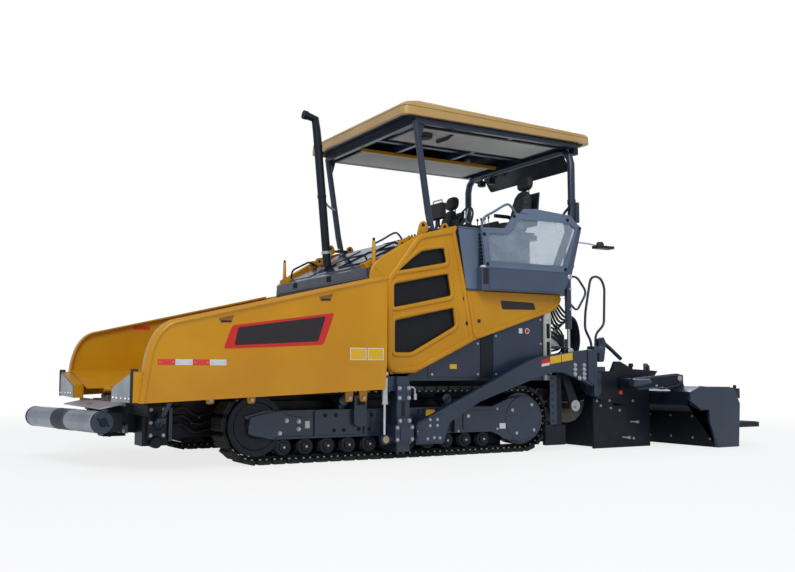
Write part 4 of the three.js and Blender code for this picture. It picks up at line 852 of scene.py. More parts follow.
# front of the chassis: blocks, wing cylinders, stubs, an apron, a light plate, a towing eye and hoses
bothSides("front_block", box(-0.30, -0.12, 0.902, 0.935, 0.26, 0.58), "black", "root", bevel=0.006)
bothSides("front_block_cap", box(-0.36, -0.322, 0.70, 0.93, 0.24, 0.56), "steelBlue", "root", bevel=0.006)
bothSides("front_block_bolts",
    bolts([(x, 0.936, z) for x in (-0.27, -0.15) for z in (0.30, 0.42, 0.54)], 0.028, 0.014), "zinc", "root")
wingRam = gather(spun([(0, 0.045), (0.34, 0.045), (0.35, 0.03), (0.36, 0.03)], (-0.22, 0.78, 0.30), (0, 1, 0.62),
    24),
                 spun([(0.30, 0.022), (0.62, 0.022)], (-0.22, 0.78, 0.30), (0, 1, 0.62), 20))
bothSides("wing_cylinder", wingRam, "steelBlue", "root")
bothSides("front_stub", spun([(0, 0.055), (0.10, 0.055), (0.11, 0.045), (0.11, 0.004)], (-0.2, 0.86, 0.235),
    sideways, 24), "black", "root")
bothSides("wing_apron", box(0.0, 0.02, 0.842, 1.40, 0.50, 0.602), "black", "root", bevel=0.003)
bothSides("front_light_plate", box(0.02, 0.05, 0.30, 0.78, 0.318, 0.40), "steelBlue", "root", bevel=0.004)
meshPiece("towing_eye", *spun([(0, 0.05), (0.03, 0.05), (0.04, 0.03), (0.04, 0.004)], (0.061, 0.0, 0.34),
    forward, 24), "black", "root")
for index, (y, z) in enumerate([(0.66, 0.36), (0.70, 0.44), (0.74, 0.52)]):
    pipe = hosePath([(-0.34, y, z), (-0.5, y + 0.08, z + 0.03), (-0.66, y + 0.02, z - 0.05), (-0.88, y - 0.02, z)],
        0.014)
    bothSides(f"front_hose_{index}", pipe, "hose", "root")
fittings = gather(*[spun([(0, 0.02), (0.04, 0.02), (0.05, 0.014)], (-0.62 - 0.07 * i, 0.66, 0.40 + 0.05 * i),
    sideways, 6) for i in range(4)])
bothSides("front_fittings", fittings, "brass", "root")
print("hopper and front made")

# tracks: shoes with rubber pads, chain links and pins, set one by one round the loop
trackLine = {"rear": -4.290, "front": -1.100, "centre": 0.372, "radius": 0.326, "count": 55, "y": (0.940, 1.240)}


def trackStations(setup, shift=0.5):
    # places and turns along the lower run, round the sprocket, along the upper run and round the idler
    run = setup["front"] - setup["rear"]
    half = math.pi * setup["radius"]
    pitch = 2 * (run + half) / setup["count"]
    places, turns = [], []
    for index in range(setup["count"]):
        d = (index + shift) * pitch
        if d < run:
            x, z, n = setup["front"] - d, setup["centre"] - setup["radius"], (0, -1)
        elif d < run + half:
            a = -math.pi / 2 - (d - run) / setup["radius"]
            n = (math.cos(a), math.sin(a))
            x, z = setup["rear"] + setup["radius"] * n[0], setup["centre"] + setup["radius"] * n[1]
        elif d < 2 * run + half:
            x, z, n = setup["rear"] + d - run - half, setup["centre"] + setup["radius"], (0, 1)
        else:
            a = math.pi / 2 - (d - 2 * run - half) / setup["radius"]
            n = (math.cos(a), math.sin(a))
            x, z = setup["front"] + setup["radius"] * n[0], setup["centre"] + setup["radius"] * n[1]
        places.append((x, 0, z))
        turns.append([[n[1], 0, n[0]], [0, 1, 0], [-n[0], 0, n[1]]])
    return np.array(places), np.array(turns)


def trackPieces(setup):
    y0, y1 = setup["y"]
    places, turns = trackStations(setup)
    pad = plate([(-0.064, 0.012), (0.064, 0.012), (0.064, 0.034), (0.054, 0.0435), (0.006, 0.0435), (0.003, 0.040),
        (-0.003, 0.040), (-0.006, 0.0435), (-0.054, 0.0435), (-0.064, 0.034)], y0 + 0.006, y1 - 0.006)
    shoe = plate([(-0.070, 0.0), (0.066, 0.0), (0.074, 0.006), (0.070, 0.013), (-0.066, 0.013), (-0.074, 0.006)],
        y0, y1)
    links = [plate(roundedRing([(-0.082, -0.034), (0.082, -0.034), (0.082, 0.0), (-0.082, 0.0)], 0.016, 3),
        y - 0.011, y + 0.011) for y in (1.045, 1.135)]
    pins = [spun([(0.0, 0.013), (0.004, 0.016), (0.128, 0.016), (0.132, 0.013)], (s * 0.062, 1.024, -0.017),
        sideways, 12) for s in (1, -1)]
    heads = [spun([(-0.002, 0.013), (0.009, 0.013)], (x, y, -0.002), (0, 0, -1), 6) for x in (-0.035, 0.035)
        for y in (0.985, 1.195)]
    bothSides("track_pads", repeated(pad, places, turns), "rubber", "root", "track_rubber")
    bothSides("track_shoes", repeated(shoe, places, turns), "trackSteel", "root")
    bothSides("track_links", repeated(gather(*links), places, turns), "trackSteel", "root")
    bothSides("track_pins", repeated(gather(*pins), places, turns), "trackSteel", "root")
    bothSides("track_bolts", repeated(gather(*heads), places, turns), "zinc", "root")
    for side in sides:
        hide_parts(f"track_{side}")


trackPieces(trackLine)

# rollers, idler, and what is on the track frame: a yoke, ribs, flanges, holes, labels and a chain guard
rollers = {"xs": np.linspace(-3.760, -1.379, 11), "z": 0.1623, "carrierX": (-2.050, -3.300), "carrierZ": 0.609}
rollerEnd = spun([(0.0, 0.078), (0.006, 0.082), (0.012, 0.074), (0.012, 0.05), (0.024, 0.046), (0.03, 0.036),
    (0.03, 0.004)], (0, 1.195, 0), sideways, 28)
flange = spun([(0.0, 0.0905), (0.014, 0.0905), (0.02, 0.083)], (0, 1.158, 0), sideways, 28)
innerFlange = spun([(0.0, 0.083), (0.006, 0.0905), (0.02, 0.0905)], (0, 1.002, 0), sideways, 28)
rollerSet = repeated(gather(rollerEnd, flange, innerFlange), [(x, 0, rollers["z"]) for x in rollers["xs"]])
bothSides("roller_ends", rollerSet, "black", "root", sharp=25)
plugs = repeated(spun([(0, 0.012), (0.008, 0.012)], (0, 1.2245, 0), sideways, 6),
    [(x, 0, rollers["z"]) for x in rollers["xs"]])
bothSides("roller_plugs", plugs, "zinc", "root")
carrierEnds = repeated(spun([(0.0, 0.055), (0.012, 0.055), (0.02, 0.04), (0.02, 0.004)], (0, 1.18, 0),
    sideways, 24), [(x, 0, rollers["carrierZ"]) for x in rollers["carrierX"]])
bothSides("carrier_ends", carrierEnds, "steelBlue", "root")
idler = (trackLine["front"], 1.18, trackLine["centre"])
idlerFace = spun([(0.0, 0.285), (0.012, 0.285), (0.012, 0.235), (0.001, 0.222), (0.001, 0.125), (0.016, 0.11),
    (0.03, 0.105), (0.03, 0.05), (0.045, 0.045), (0.045, 0.004)], idler, sideways, 48)
bothSides("idler_face", idlerFace, "black", "root", sharp=25)
turnSpots = [(idler[0] + 0.08 * math.cos(t), 1.21, idler[2] + 0.08 * math.sin(t)) for t in fullTurn(8)]
bothSides("idler_bolts", bolts(turnSpots, 0.02, 0.01), "zinc", "root")

frameFace = 1.205
bothSides("track_inner_guard", box(-1.05, -4.15, 0.985, 1.0, 0.075, 0.30), "black", "root")
yoke = plate(roundedRing([(-1.02, 0.46), (-1.20, 0.50), (-1.34, 0.515), (-1.42, 0.47), (-1.60, 0.44), (-1.60, 0.31),
    (-1.40, 0.30), (-1.25, 0.24), (-1.00, 0.30)], 0.03), frameFace - 0.004, frameFace + 0.026)
bothSides("idler_yoke", yoke, "steelBlue", "root", bevel=0.005)
bothSides("idler_yoke_bolts",
    sideBolts([(-1.40, 0.42), (-1.53, 0.41), (-1.53, 0.335), (-1.33, 0.30)], frameFace + 0.026, 0.036, 0.016),
    "zinc", "root")
ribs = [box(x - 0.014, x + 0.014, frameFace - 0.002, frameFace + 0.022, 0.25, 0.515) for x in (-1.72, -2.28, -2.94)]
bothSides("frame_ribs", gather(*ribs), "steelBlue", "root", bevel=0.003)
for name, z0, z1 in (("frame_lower_flange", 0.24, 0.262), ("frame_upper_flange", 0.505, 0.52)):
    bothSides(name, box(-3.62, -1.3, frameFace - 0.002, frameFace + 0.018, z0, z1), "steelBlue", "root",
        bevel=0.003)
frameHoles = [(-1.83, 0.46), (-1.95, 0.46), (-2.36, 0.455), (-1.93, 0.31), (-2.04, 0.31), (-2.21, 0.315),
    (-2.33, 0.31)]
holes = repeated(spun([(0.0, 0.021), (0.0015, 0.021)], (0, frameFace, 0), sideways, 20),
    [(x, 0, z) for x, z in frameHoles])
bothSides("frame_holes", holes, "hole", "root")
bothSides("frame_label", box(-1.66, -1.60, frameFace, frameFace + 0.0015, 0.34, 0.41), "labelWhite", "root")
guardBox = plate([(-2.13, 0.66), (-2.28, 0.66), (-2.28, 0.37), (-2.24, 0.34), (-2.17, 0.34), (-2.13, 0.37)],
    1.10, 1.262)
bothSides("chain_guard", guardBox, "steelBlue", "root", bevel=0.006)
bothSides("chain_guard_window", box(-2.16, -2.25, 1.262, 1.2635, 0.56, 0.63), "hole", "root")

# the cover over the sprocket: rim, hub, bolts, a hatch with its catch, blank labels
coverFace = 1.262
sprocket = (trackLine["rear"], coverFace, trackLine["centre"])
coverRim = hoop([(-0.003, 0.2565), (0.006, 0.250), (0.006, 0.236), (-0.003, 0.230)], sprocket, sideways, 56)
bothSides("cover_rim", coverRim, "steelBlue", "root", sharp=25)
coverHub = spun([(-0.002, 0.03), (0.004, 0.026), (0.004, 0.004)], sprocket, sideways, 40)
bothSides("cover_hub", coverHub, "steelBlue", "root", sharp=25)
coverTurn = [(sprocket[0] + 0.19 * math.cos(t), sprocket[2] + 0.19 * math.sin(t)) for t in (0.55, 2.2, 3.9, 5.3)]
bothSides("cover_bolts", sideBolts(coverTurn, coverFace, 0.03, 0.012), "zinc", "root")
hatch = plate(roundedRing([(-3.46, 0.27), (-3.86, 0.28), (-3.86, 0.48), (-3.46, 0.48)], 0.02),
    coverFace - 0.006, coverFace + 0.006)
bothSides("cover_hatch", hatch, "steelBlue", "root", bevel=0.003)
bothSides("cover_catch", spun([(0, 0.02), (0.01, 0.02), (0.012, 0.006)], (-3.52, coverFace + 0.006, 0.42),
    sideways, 20), "zinc", "root")
bothSides("cover_label", box(-3.95, -4.03, coverFace - 0.003, coverFace + 0.0015, 0.27, 0.33), "labelWhite", "root")
bothSides("frame_yellow_label", box(-3.02, -3.13, frameFace, frameFace + 0.0016, 0.43, 0.50), "labelYellow", "root")
bothSides("cover_seam_bolts",
    sideBolts([(-3.40, 0.26), (-3.40, 0.50), (-3.92, 0.27), (-3.92, 0.49)], coverFace - 0.004, 0.022, 0.01), "zinc",
    "root")

# engine doors: beads, gaskets and punched sheet at the windows, rounded edges, catches
doorFace = 1.25
door = "engine_door_{}"
windows = [
    [(-2.600, 1.950), (-2.946, 2.190), (-3.225, 2.245), (-3.260, 2.085)],
    [(-2.600, 1.820), (-3.278, 1.965), (-3.320, 1.725), (-2.600, 1.570)],
    [(-2.610, 1.435), (-3.345, 1.595), (-3.378, 1.360), (-2.835, 1.100), (-2.610, 1.100)],
]
for index, corners in enumerate(windows):
    middle = np.mean(corners, 0)
    outer = [tuple(np.array(c) + np.sign(np.array(c) - middle) * 0.026) for c in corners]
    bothSides(f"door_bead_{index}", framing(outer, doorFace - 0.002, 0.048, 0.018, 0.06), "amber", door, sharp=50)
    inset = [tuple(middle + (np.array(c) - middle) * 0.985) for c in corners]
    bothSides(f"door_mesh_{index}", plate(roundedRing(inset, 0.03), 1.2165, 1.2185), "mesh", door)
    strip = [(-0.004, -0.012), (0.006, -0.012), (0.006, 0.012), (-0.004, 0.012)]
    bothSides(f"door_gasket_{index}", edging(roundedRing(inset, 0.03), 1.231, strip), "hose", door)


def ribbon(corners, width, height, y, fillet=0.08):
    # a raised rounded ribbon following corners on a side face
    path = filletPath([(x, y, z) for x, z in corners], fillet, 7)
    t = np.linspace(0, np.pi, 8)
    bead = np.vstack([np.stack([width / 2 * np.cos(t), height * np.sin(t) ** 0.7], 1),
        [(-width / 2, -0.003), (width / 2, -0.003)]])
    return outward(tubeAlong(path, bead, up=sideways))


doorEdge = ribbon([(-2.60, 0.905), (-2.548, 0.96), (-2.548, 1.88), (-2.60, 1.93), (-2.915, 2.345), (-3.35, 2.437)],
    0.062, 0.02, doorFace)
bothSides("door_edge", doorEdge, "amber", door, sharp=50)
doorFoot = ribbon([(-2.60, 0.905), (-2.85, 0.915), (-3.585, 1.255)], 0.062, 0.02, doorFace)
bothSides("door_foot", doorFoot, "amber", door, sharp=50)
doorRear = ribbon([(-3.35, 2.437), (-3.488, 1.829), (-3.585, 1.255)], 0.05, 0.014, doorFace, 0.05)
bothSides("door_rear", doorRear, "amber", door, sharp=50)
for index, (x, z) in enumerate([(-3.445, 2.018), (-3.534, 1.432), (-3.50, 1.70)]):
    catch = gather(spun([(0, 0.026), (0.006, 0.026), (0.008, 0.02), (0.004, 0.012)], (x, doorFace, z),
        sideways, 24), box(x - 0.004, x + 0.004, doorFace, doorFace + 0.009, z - 0.016, z + 0.016))
    bothSides(f"door_catch_{index}", catch, "plastic", door)

# hood: cheeks, a notched front band, raised panels, a hatch with its grab and louvres, poles, lugs and rails
hoodLine = {"front": (-2.310, 1.980), "slope": math.atan2(0.45, 0.87)}


def onHood(along, out, y):
    c, s = math.cos(hoodLine["slope"]), math.sin(hoodLine["slope"])
    return (hoodLine["front"][0] - along * c + out * s, y, hoodLine["front"][1] + along * s + out * c)


def hoodPlate(near, far, low, high, y0, y1):
    corners = [onHood(a, b, 0) for a, b in ((near, low), (far, low), (far, high), (near, high))]
    return plate([(c[0], c[2]) for c in corners], y0, y1)


sideCheek = plate([(-2.315, 1.80), (-2.34, 1.985), (-2.42, 2.055), (-2.915, 2.345), (-3.40, 2.49), (-3.40, 2.44),
    (-2.92, 2.31), (-2.60, 1.98), (-2.56, 1.80)], 1.2115, 1.2465)
bothSides("hood_cheek", sideCheek, "amber", "root", bevel=0.012)
edgeRoll = tube([(-2.33, 1.228, 1.82), (-2.345, 1.228, 1.985), (-2.45, 1.228, 2.075), (-2.92, 1.228, 2.352),
    (-3.40, 1.228, 2.485)], 0.021, 0.07, 14)
bothSides("hood_edge", edgeRoll, "amber", "root", sharp=50)
meshPiece("hood_front_band", *box(-2.315, -2.3015, -1.19, 1.19, 1.885, 1.978), "steelBlue", "root", bevel=0.003)
meshPiece("hood_front_notch",
    *gather(*[box(-2.3025, -2.3008, y - 0.06, y + 0.06, 1.90, 1.965) for y in (-0.62, 0.30)]), "hole", "root")
hoodPanels = [(0.10, 0.52, -1.12, -0.42), (0.56, 0.88, -1.12, -0.42), (0.10, 0.52, -0.2, -0.02)]
for index, (a, b, y0, y1) in enumerate(hoodPanels):
    meshPiece(f"hood_panel_{index}", *hoodPlate(a, b, 0.0005, 0.008, y0, y1), "hoodBlue", "root", bevel=0.004)
grab = [onHood(0.30, b, y) for b, y in ((0.015, 0.30), (0.075, 0.30), (0.075, 0.70), (0.015, 0.70))]
meshPiece("hatch_grab", *tube(grab, 0.011, 0.03, 10, up=(1, 0, 0.2)), "black", "hood_hatch")
grabFrame = [onHood(a, 0.02, y) for a, y in ((0.18, 0.22), (0.62, 0.22), (0.62, 0.82), (0.18, 0.82))]
for index, spot in enumerate(grabFrame):
    following = grabFrame[(index + 1) % 4]
    meshPiece(f"hatch_frame_{index}",
        *tube([spot, (np.array(spot) + following) / 2, following], 0.008, 0.01, 8, up=(0.1, 0.2, 1)), "black",
        "hood_hatch")
vent = [hoodPlate(0.40 + 0.05 * i, 0.425 + 0.05 * i, 0.0135, 0.020, 0.86, 0.97) for i in range(8)]
meshPiece("hatch_louvres", *gather(*vent), "black", "hood_hatch", bevel=0.002)
for side, s in sides.items():
    base = np.array(onHood(0.10, 0.0, s * 1.17))
    pole = spun([(0, 0.024), (0.24, 0.018), (0.25, 0.012)], base, upward, 16)
    meshPiece(f"hood_pole_{side}", *pole, "amber", "root")
    meshPiece(f"hood_pole_tip_{side}", *spun([(0.245, 0.014), (0.275, 0.014), (0.28, 0.008)], base, upward, 16),
        "black", "root")
    for index, along in enumerate((0.52, 0.62)):
        foot = np.array(onHood(along, 0.0, 0))
        lug = plate(roundedRing([(foot[0] - 0.06, foot[2] - 0.01), (foot[0] + 0.06, foot[2] - 0.03),
            (foot[0] + 0.045, foot[2] + 0.09), (foot[0] - 0.045, foot[2] + 0.10)], 0.035), s * 1.12, s * 1.14)
        meshPiece(f"hood_lug_{side}_{index}", *lug, "amber", "root", bevel=0.004)
        eye = spun([(0, 0.018), (0.024, 0.018)], (foot[0], s * 1.118, foot[2] + 0.05), (0, s, 0), 18)
        meshPiece(f"hood_lug_eye_{side}_{index}", *eye, "hole", "root")
    rail = [onHood(0.16, 0.0, s * 1.08), onHood(0.22, 0.10, s * 1.08), onHood(0.50, 0.10, s * 1.08),
        onHood(0.56, 0.0, s * 1.08)]
    meshPiece(f"hood_rail_{side}", *tube(rail, 0.012, 0.05, 10), "black", "root")
    block = hoodPlate(0.02, 0.14, -0.01, 0.05, s * 1.02, s * 1.12)
    meshPiece(f"hood_corner_block_{side}", *block, "amber", "root", bevel=0.008)
    slots = [hoodPlate(0.035 + 0.03 * i, 0.05 + 0.03 * i, 0.045, 0.0515, s * 1.035, s * 1.105) for i in range(3)]
    meshPiece(f"hood_corner_slots_{side}", *gather(*slots), "hole", "root")

# exhaust: clamps, a brace to the canopy post and a thin-walled outlet
stack = {"foot": (-2.575, -0.30, 2.117), "bend": (-2.405, -0.30, 3.945)}


def onStack(share):
    return np.array(stack["foot"]) + (np.array(stack["bend"]) - np.array(stack["foot"])) * share


stackWay = np.array(stack["bend"]) - np.array(stack["foot"])
stackWay = stackWay / np.linalg.norm(stackWay)
for index, share in enumerate((0.10, 0.47, 0.80)):
    meshPiece(f"exhaust_clamp_{index}", *spun([(0, 0.0545), (0.035, 0.0545)], onStack(share), stackWay, 28),
        "black" if index else "zinc", "root")
brace = [onStack(0.47) + stackWay * 0.017, (-2.78, -0.72, 2.97), (-3.055, -1.07, 2.98)]
meshPiece("exhaust_brace", *tube(brace, 0.014, 0.08, 10), "steelBlue", "root")
meshPiece("exhaust_outlet", *spun([(0, 0.0535), (0.05, 0.0535), (0.05, 0.046), (0.012, 0.046)],
    (-2.288, -0.30, 3.957), (0.99, 0, 0.14), 28), "black", "root")
print("tracks, doors and hood made")

# canopy roof: one moulded shell, rounded in plan, with a rebated side band
roof = {"front": -2.75, "rear": -5.43, "half": 1.2, "corner": 0.11, "lip": 0.045, "ceiling": 3.7455}


def planRing(inset, setup, frontExtra=0.0):
    x0, x1, w = setup["rear"] + inset, setup["front"] - inset - frontExtra, setup["half"] - inset
    return roundedRing([(x0, -w), (x1, -w), (x1, w), (x0, w)], setup["corner"] + 0.25 * inset, 14)


def roofShape(setup):
    # each ring: inset from the edge, extra inset at the front, share of the height, which falls towards the rear
    lip = setup["lip"]
    rings = [
        (lip, 0.0, -1.0), (lip, 0.0, 0.0), (0.0, 0.0, 0.0), (0.0, 0.002, 0.30), (0.001, 0.004, 0.49),
        (0.007, 0.006, 0.50), (0.007, 0.008, 0.53), (0.0, 0.006, 0.54), (0.003, 0.02, 0.70), (0.012, 0.05, 0.82),
        (0.035, 0.09, 0.91), (0.08, 0.14, 0.965), (0.15, 0.20, 0.99), (0.40, 0.25, 1.0), (0.8, 0.25, 1.005),
    ]
    rows = []
    for inset, extra, share in rings:
        plan = planRing(inset, setup, extra)
        back = np.clip((setup["front"] - plan[:, 0]) / (setup["front"] - setup["rear"]), 0, 1)
        low = 3.700 - 0.018 * back
        high = 3.884 - 0.075 * np.clip((back - 0.12) / 0.88, 0, 1) ** 1.3
        z = low + (high - low) * share if share >= 0 else np.full(len(plan), setup["ceiling"])
        rows.append(np.column_stack([plan, z]))
    n, m = len(rows), len(rows[0])
    faces = gridFaces(n, m, False, True)
    faces += [list(range(m)), list(range((n - 1) * m, n * m))[::-1]]
    return outward((np.vstack(rows), faces))


meshPiece("roof_shell", *roofShape(roof), "amberPale", "root", "amber_paint", sharp=35)
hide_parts("canopy_roof")

# under the roof: lining, pale panels, an amber strip, a speaker, a visor, lamps, and the posts' fittings
meshPiece("roof_lining", *box(-2.86, -5.33, -1.145, 1.145, 3.7405, 3.7452), "steelBlue", "root")
for index, (y0, y1) in enumerate([(0.36, 0.98), (-1.0, -0.36)]):
    meshPiece(f"roof_panel_{index}", *box(-3.08, -5.0, y0, y1, 3.620, 3.629), "ceiling", "root", bevel=0.004)
    meshPiece(f"roof_panel_rim_{index}", *box(-3.05, -5.04, y0 - 0.04, y1 + 0.04, 3.623, 3.640), "plastic", "root",
        bevel=0.004)
meshPiece("roof_strip", *box(-3.02, -5.05, -0.30, -0.255, 3.600, 3.640), "amber", "root", bevel=0.004)
meshPiece("roof_beam", *box(-2.95, -5.2, -0.02, 0.06, 3.675, 3.741), "steelBlue", "root", bevel=0.006)
speaker = spun([(0, 0.10), (0.05, 0.095), (0.06, 0.075), (0.052, 0.004)], (-3.27, 0.78, 3.622), (0, 0, -1), 28)
meshPiece("roof_speaker", *speaker, "plastic", "root")
meshPiece("roof_fan_arm", *tube([(-3.56, 0.92, 3.625), (-3.57, 0.8, 3.60), (-3.55, 0.62, 3.60)], 0.022, 0.04, 10),
    "plastic", "root")
meshPiece("front_light_frame", *box(-2.765, -2.82, 0.28, 1.02, 3.706, 3.775), "plastic", "root", bevel=0.006)
for index, y in enumerate((0.93, 0.70)):
    meshPiece(f"front_light_{index}", *box(-2.757, -2.766, y - 0.045, y + 0.045, 3.712, 3.768), "lamp", "root",
        bevel=0.004)
visorTilt = [(-5.235, 3.60), (-5.36, 3.415), (-5.352, 3.410), (-5.227, 3.595)]
visor = plate(visorTilt, -0.78, 0.86)
meshPiece("rear_visor", *visor, "tinted", "root")
meshPiece("rear_visor_rim", *tube([(-5.232, -0.79, 3.597), (-5.356, -0.79, 3.412), (-5.356, 0.87, 3.412),
    (-5.232, 0.87, 3.597)], 0.010, 0.03, 8, up=(1, 0, 0.3)), "black", "root")


def workLamp(x, y, z, way):
    # a square lamp on a short stalk: housing, fins and a lens that faces the way given
    housing = box(x - 0.035, x + 0.035, y - 0.04, y + 0.04, z - 0.04, z + 0.04)
    fins = [box(x - way * (0.036 + 0.008 * i) - 0.002, x - way * (0.036 + 0.008 * i) + 0.002, y - 0.034, y + 0.034,
        z - 0.034, z + 0.034) for i in range(3)]
    stalk = box(x - 0.008, x + 0.008, y - 0.012, y + 0.012, z + 0.036, z + 0.085)
    lens = box(x + way * 0.034, x + way * 0.040, y - 0.034, y + 0.034, z - 0.034, z + 0.034)
    return gather(housing, stalk, *fins), lens


for index, (x, y, z, way) in enumerate([(-5.15, -0.50, 3.49, -1), (-5.15, -0.72, 3.49, -1),
    (-5.30, 1.02, 3.605, -1), (-5.30, 0.86, 3.605, -1), (-5.30, -1.0, 3.605, -1)]):
    bodyShape, lens = workLamp(x, y, z, way)
    meshPiece(f"work_lamp_{index}", *bodyShape, "plastic", "root", bevel=0.002)
    meshPiece(f"work_lamp_lens_{index}", *lens, "lamp", "root", bevel=0.002)
for side, s in sides.items():
    gusset = plate([(-2.99, 3.70), (-2.955, 3.60), (-2.985, 3.44), (-3.02, 3.44), (-3.09, 3.70)],
        s * 1.094, s * 1.106)
    meshPiece(f"post_gusset_{side}", *gusset, "steelBlue", "root", bevel=0.002)
    hinge = spun([(0, 0.052), (0.05, 0.052)], (-5.18, s * 1.10, 2.93), upward, 28)
    meshPiece(f"hoop_joint_{side}", *hinge, "steelBlue", "root", bevel=0.003)
    meshPiece(f"hoop_bracket_{side}", *box(-5.20, -5.26, s * 1.05, s * 1.15, 2.70, 2.95), "steelBlue", "root",
        bevel=0.004)
    foot = bolts([(x, s * y, 2.0745) for x in (-4.95, -4.83) for y in (1.055, 1.145)], 0.026, 0.012, upward)
    meshPiece(f"hoop_foot_bolts_{side}", *foot, "zinc", "root")
    postFoot = bolts([(x, s * y, 2.4705) for x in (-3.225, -3.105) for y in (1.055, 1.145)], 0.026, 0.012, upward)
    meshPiece(f"post_foot_bolts_{side}", *postFoot, "zinc", "root")

# seats: three pads each, swollen by a cloth simulation, on a pan and a shell
seatPads = {"y": 0.8, "levels": 1, "voxel": 0.006, "pressure": 4.0, "cap": 0.022, "frames": 20}


def padForm(centre, half, tilt=0.0, taper=0.0, power=3.2, rows=36, columns=48, bolster=0.0):
    # superellipsoid: |x/a|^p + |y/b|^p + |z/c|^p = 1, narrowed upwards by taper, hollowed between its bolsters
    u = np.linspace(-np.pi / 2, np.pi / 2, rows)[1:-1]
    v = fullTurn(columns)
    power2 = 2 / power
    lift = lambda a: np.sign(a) * np.abs(a) ** power2
    cu, su = lift(np.cos(u)), lift(np.sin(u))
    cv, sv = lift(np.cos(v)), lift(np.sin(v))
    x = cu[:, None] * cv[None]
    y = cu[:, None] * sv[None]
    z = np.repeat(su[:, None], columns, 1)
    wide = 1 - taper * (z + 1) / 2
    thick = 1 + bolster * (np.abs(y) ** 4 - 0.25)
    local = np.stack([x * half[0] * thick, y * half[1] * wide, z * half[2]], -1).reshape(-1, 3)
    c, s = math.cos(tilt), math.sin(tilt)
    turned = np.stack([c * local[:, 0] - s * local[:, 2], local[:, 1], s * local[:, 0] + c * local[:, 2]], 1)
    n = len(u)
    faces = gridFaces(n, columns, False, True) + [list(range(columns)),
        list(range((n - 1) * columns, n * columns))[::-1]]
    return outward((turned + np.array(centre), faces))


def swell(piece, setup):
    # the pad's own cloth: pressure pushes the remeshed skin out, each point's move capped, then it is applied
    remesh = piece.modifiers.new("even_skin", "REMESH")
    remesh.mode, remesh.voxel_size = "VOXEL", setup["voxel"]
    bpy.context.view_layer.update()
    graph = bpy.context.evaluated_depsgraph_get()
    mesh = bpy.data.meshes.new_from_object(piece.evaluated_get(graph))
    piece.modifiers.clear()
    old = piece.data
    piece.data = mesh
    bpy.data.meshes.remove(old)
    start = np.empty(len(mesh.vertices) * 3)
    mesh.vertices.foreach_get("co", start)
    start = start.reshape(-1, 3)
    cloth = piece.modifiers.new("cloth", "CLOTH")
    cloth.settings.use_pressure = True
    cloth.settings.uniform_pressure_force = setup["pressure"]
    cloth.settings.effector_weights.gravity = 0
    cloth.settings.quality = 4
    scene = bpy.context.scene
    for number in range(1, setup["frames"] + 1):
        scene.frame_set(number)
    graph = bpy.context.evaluated_depsgraph_get()
    swollen = piece.evaluated_get(graph).to_mesh()
    end = np.empty(len(swollen.vertices) * 3)
    swollen.vertices.foreach_get("co", end)
    end = end.reshape(-1, 3)
    piece.evaluated_get(graph).to_mesh_clear()
    piece.modifiers.clear()
    move = end - start
    length = np.linalg.norm(move, axis=1)[:, None]
    move *= np.minimum(1, setup["cap"] / np.maximum(length, 1e-9))
    mesh.vertices.foreach_set("co", (start + move).ravel())
    scene.frame_set(1)
    mesh.update()


padForms = {
    "cushion": padForm((-4.44, 0, 2.598), (0.205, 0.205, 0.055), tilt=-0.06, power=3.4),
    "back": padForm((-4.655, 0, 2.88), (0.055, 0.20, 0.215), tilt=0.16, taper=0.28, power=3.0, bolster=0.35),
    "headrest": padForm((-4.708, 0, 3.185), (0.052, 0.135, 0.092), tilt=0.14, taper=0.12, power=2.8),
}


def seatPad(name, shape):
    made = meshPiece(f"pad_{name}_left", shape[0] + np.array([0, seatPads["y"], 0]), shape[1], "vinyl", "root",
        "seat_vinyl", sharp=180)
    swell(made, seatPads)
    made.data.shade_smooth()
    twin = made.copy()
    twin.data = made.data.copy()
    twin.name = f"pad_{name}_right"
    bpy.context.scene.collection.objects.link(twin)
    for vertex in twin.data.vertices:
        vertex.co.y -= 2 * seatPads["y"]
    for piece in (made, twin):
        smooth = piece.modifiers.new("smooth", "SUBSURF")
        smooth.levels = smooth.render_levels = seatPads["levels"]
    return made, twin


for padName, shape in padForms.items():
    pair = seatPad(padName, shape)
    if padName == "cushion":
        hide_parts("seat_left")
        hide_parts("seat_right")
for side, s in sides.items():
    y = seatPads["y"] * s
    shell = plate([(-4.725, 2.64), (-4.74, 2.64), (-4.785, 3.05), (-4.772, 3.06), (-4.70, 2.66)],
        y - 0.19, y + 0.19)
    meshPiece(f"seat_shell_{side}", *shell, "plastic", "root", bevel=0.012)
    pan = box(-4.23, -4.68, y - 0.21, y + 0.21, 2.5205, 2.548)
    meshPiece(f"seat_pan_{side}", *pan, "plastic", "root", bevel=0.01)
    for index, shift in enumerate((-0.05, 0.05)):
        meshPiece(f"headrest_post_{side}_{index}",
            *spun([(0, 0.008), (0.11, 0.008)], (-4.715, y + shift, 3.02), (-0.14, 0, 1), 12), "zinc", "root")
        armY = y + (0.235 if shift > 0 else -0.235)
        arm = tube([(-4.70, armY, 2.72), (-4.66, armY, 2.80), (-4.42, armY, 2.80)], 0.024, 0.05, 12)
        meshPiece(f"seat_arm_{side}_{index}", *arm, "plastic", "root")
    for level, (z, wide) in enumerate([(2.78, 0.17), (2.93, 0.155)]):
        seam = tube([(-4.615 - level * 0.03, y - wide, z), (-4.607 - level * 0.03, y, z - 0.004),
            (-4.615 - level * 0.03, y + wide, z)], 0.0025, 0.1, 6, up=upward)
        meshPiece(f"seat_seam_{side}_{level}", *seam, "hose", "root")

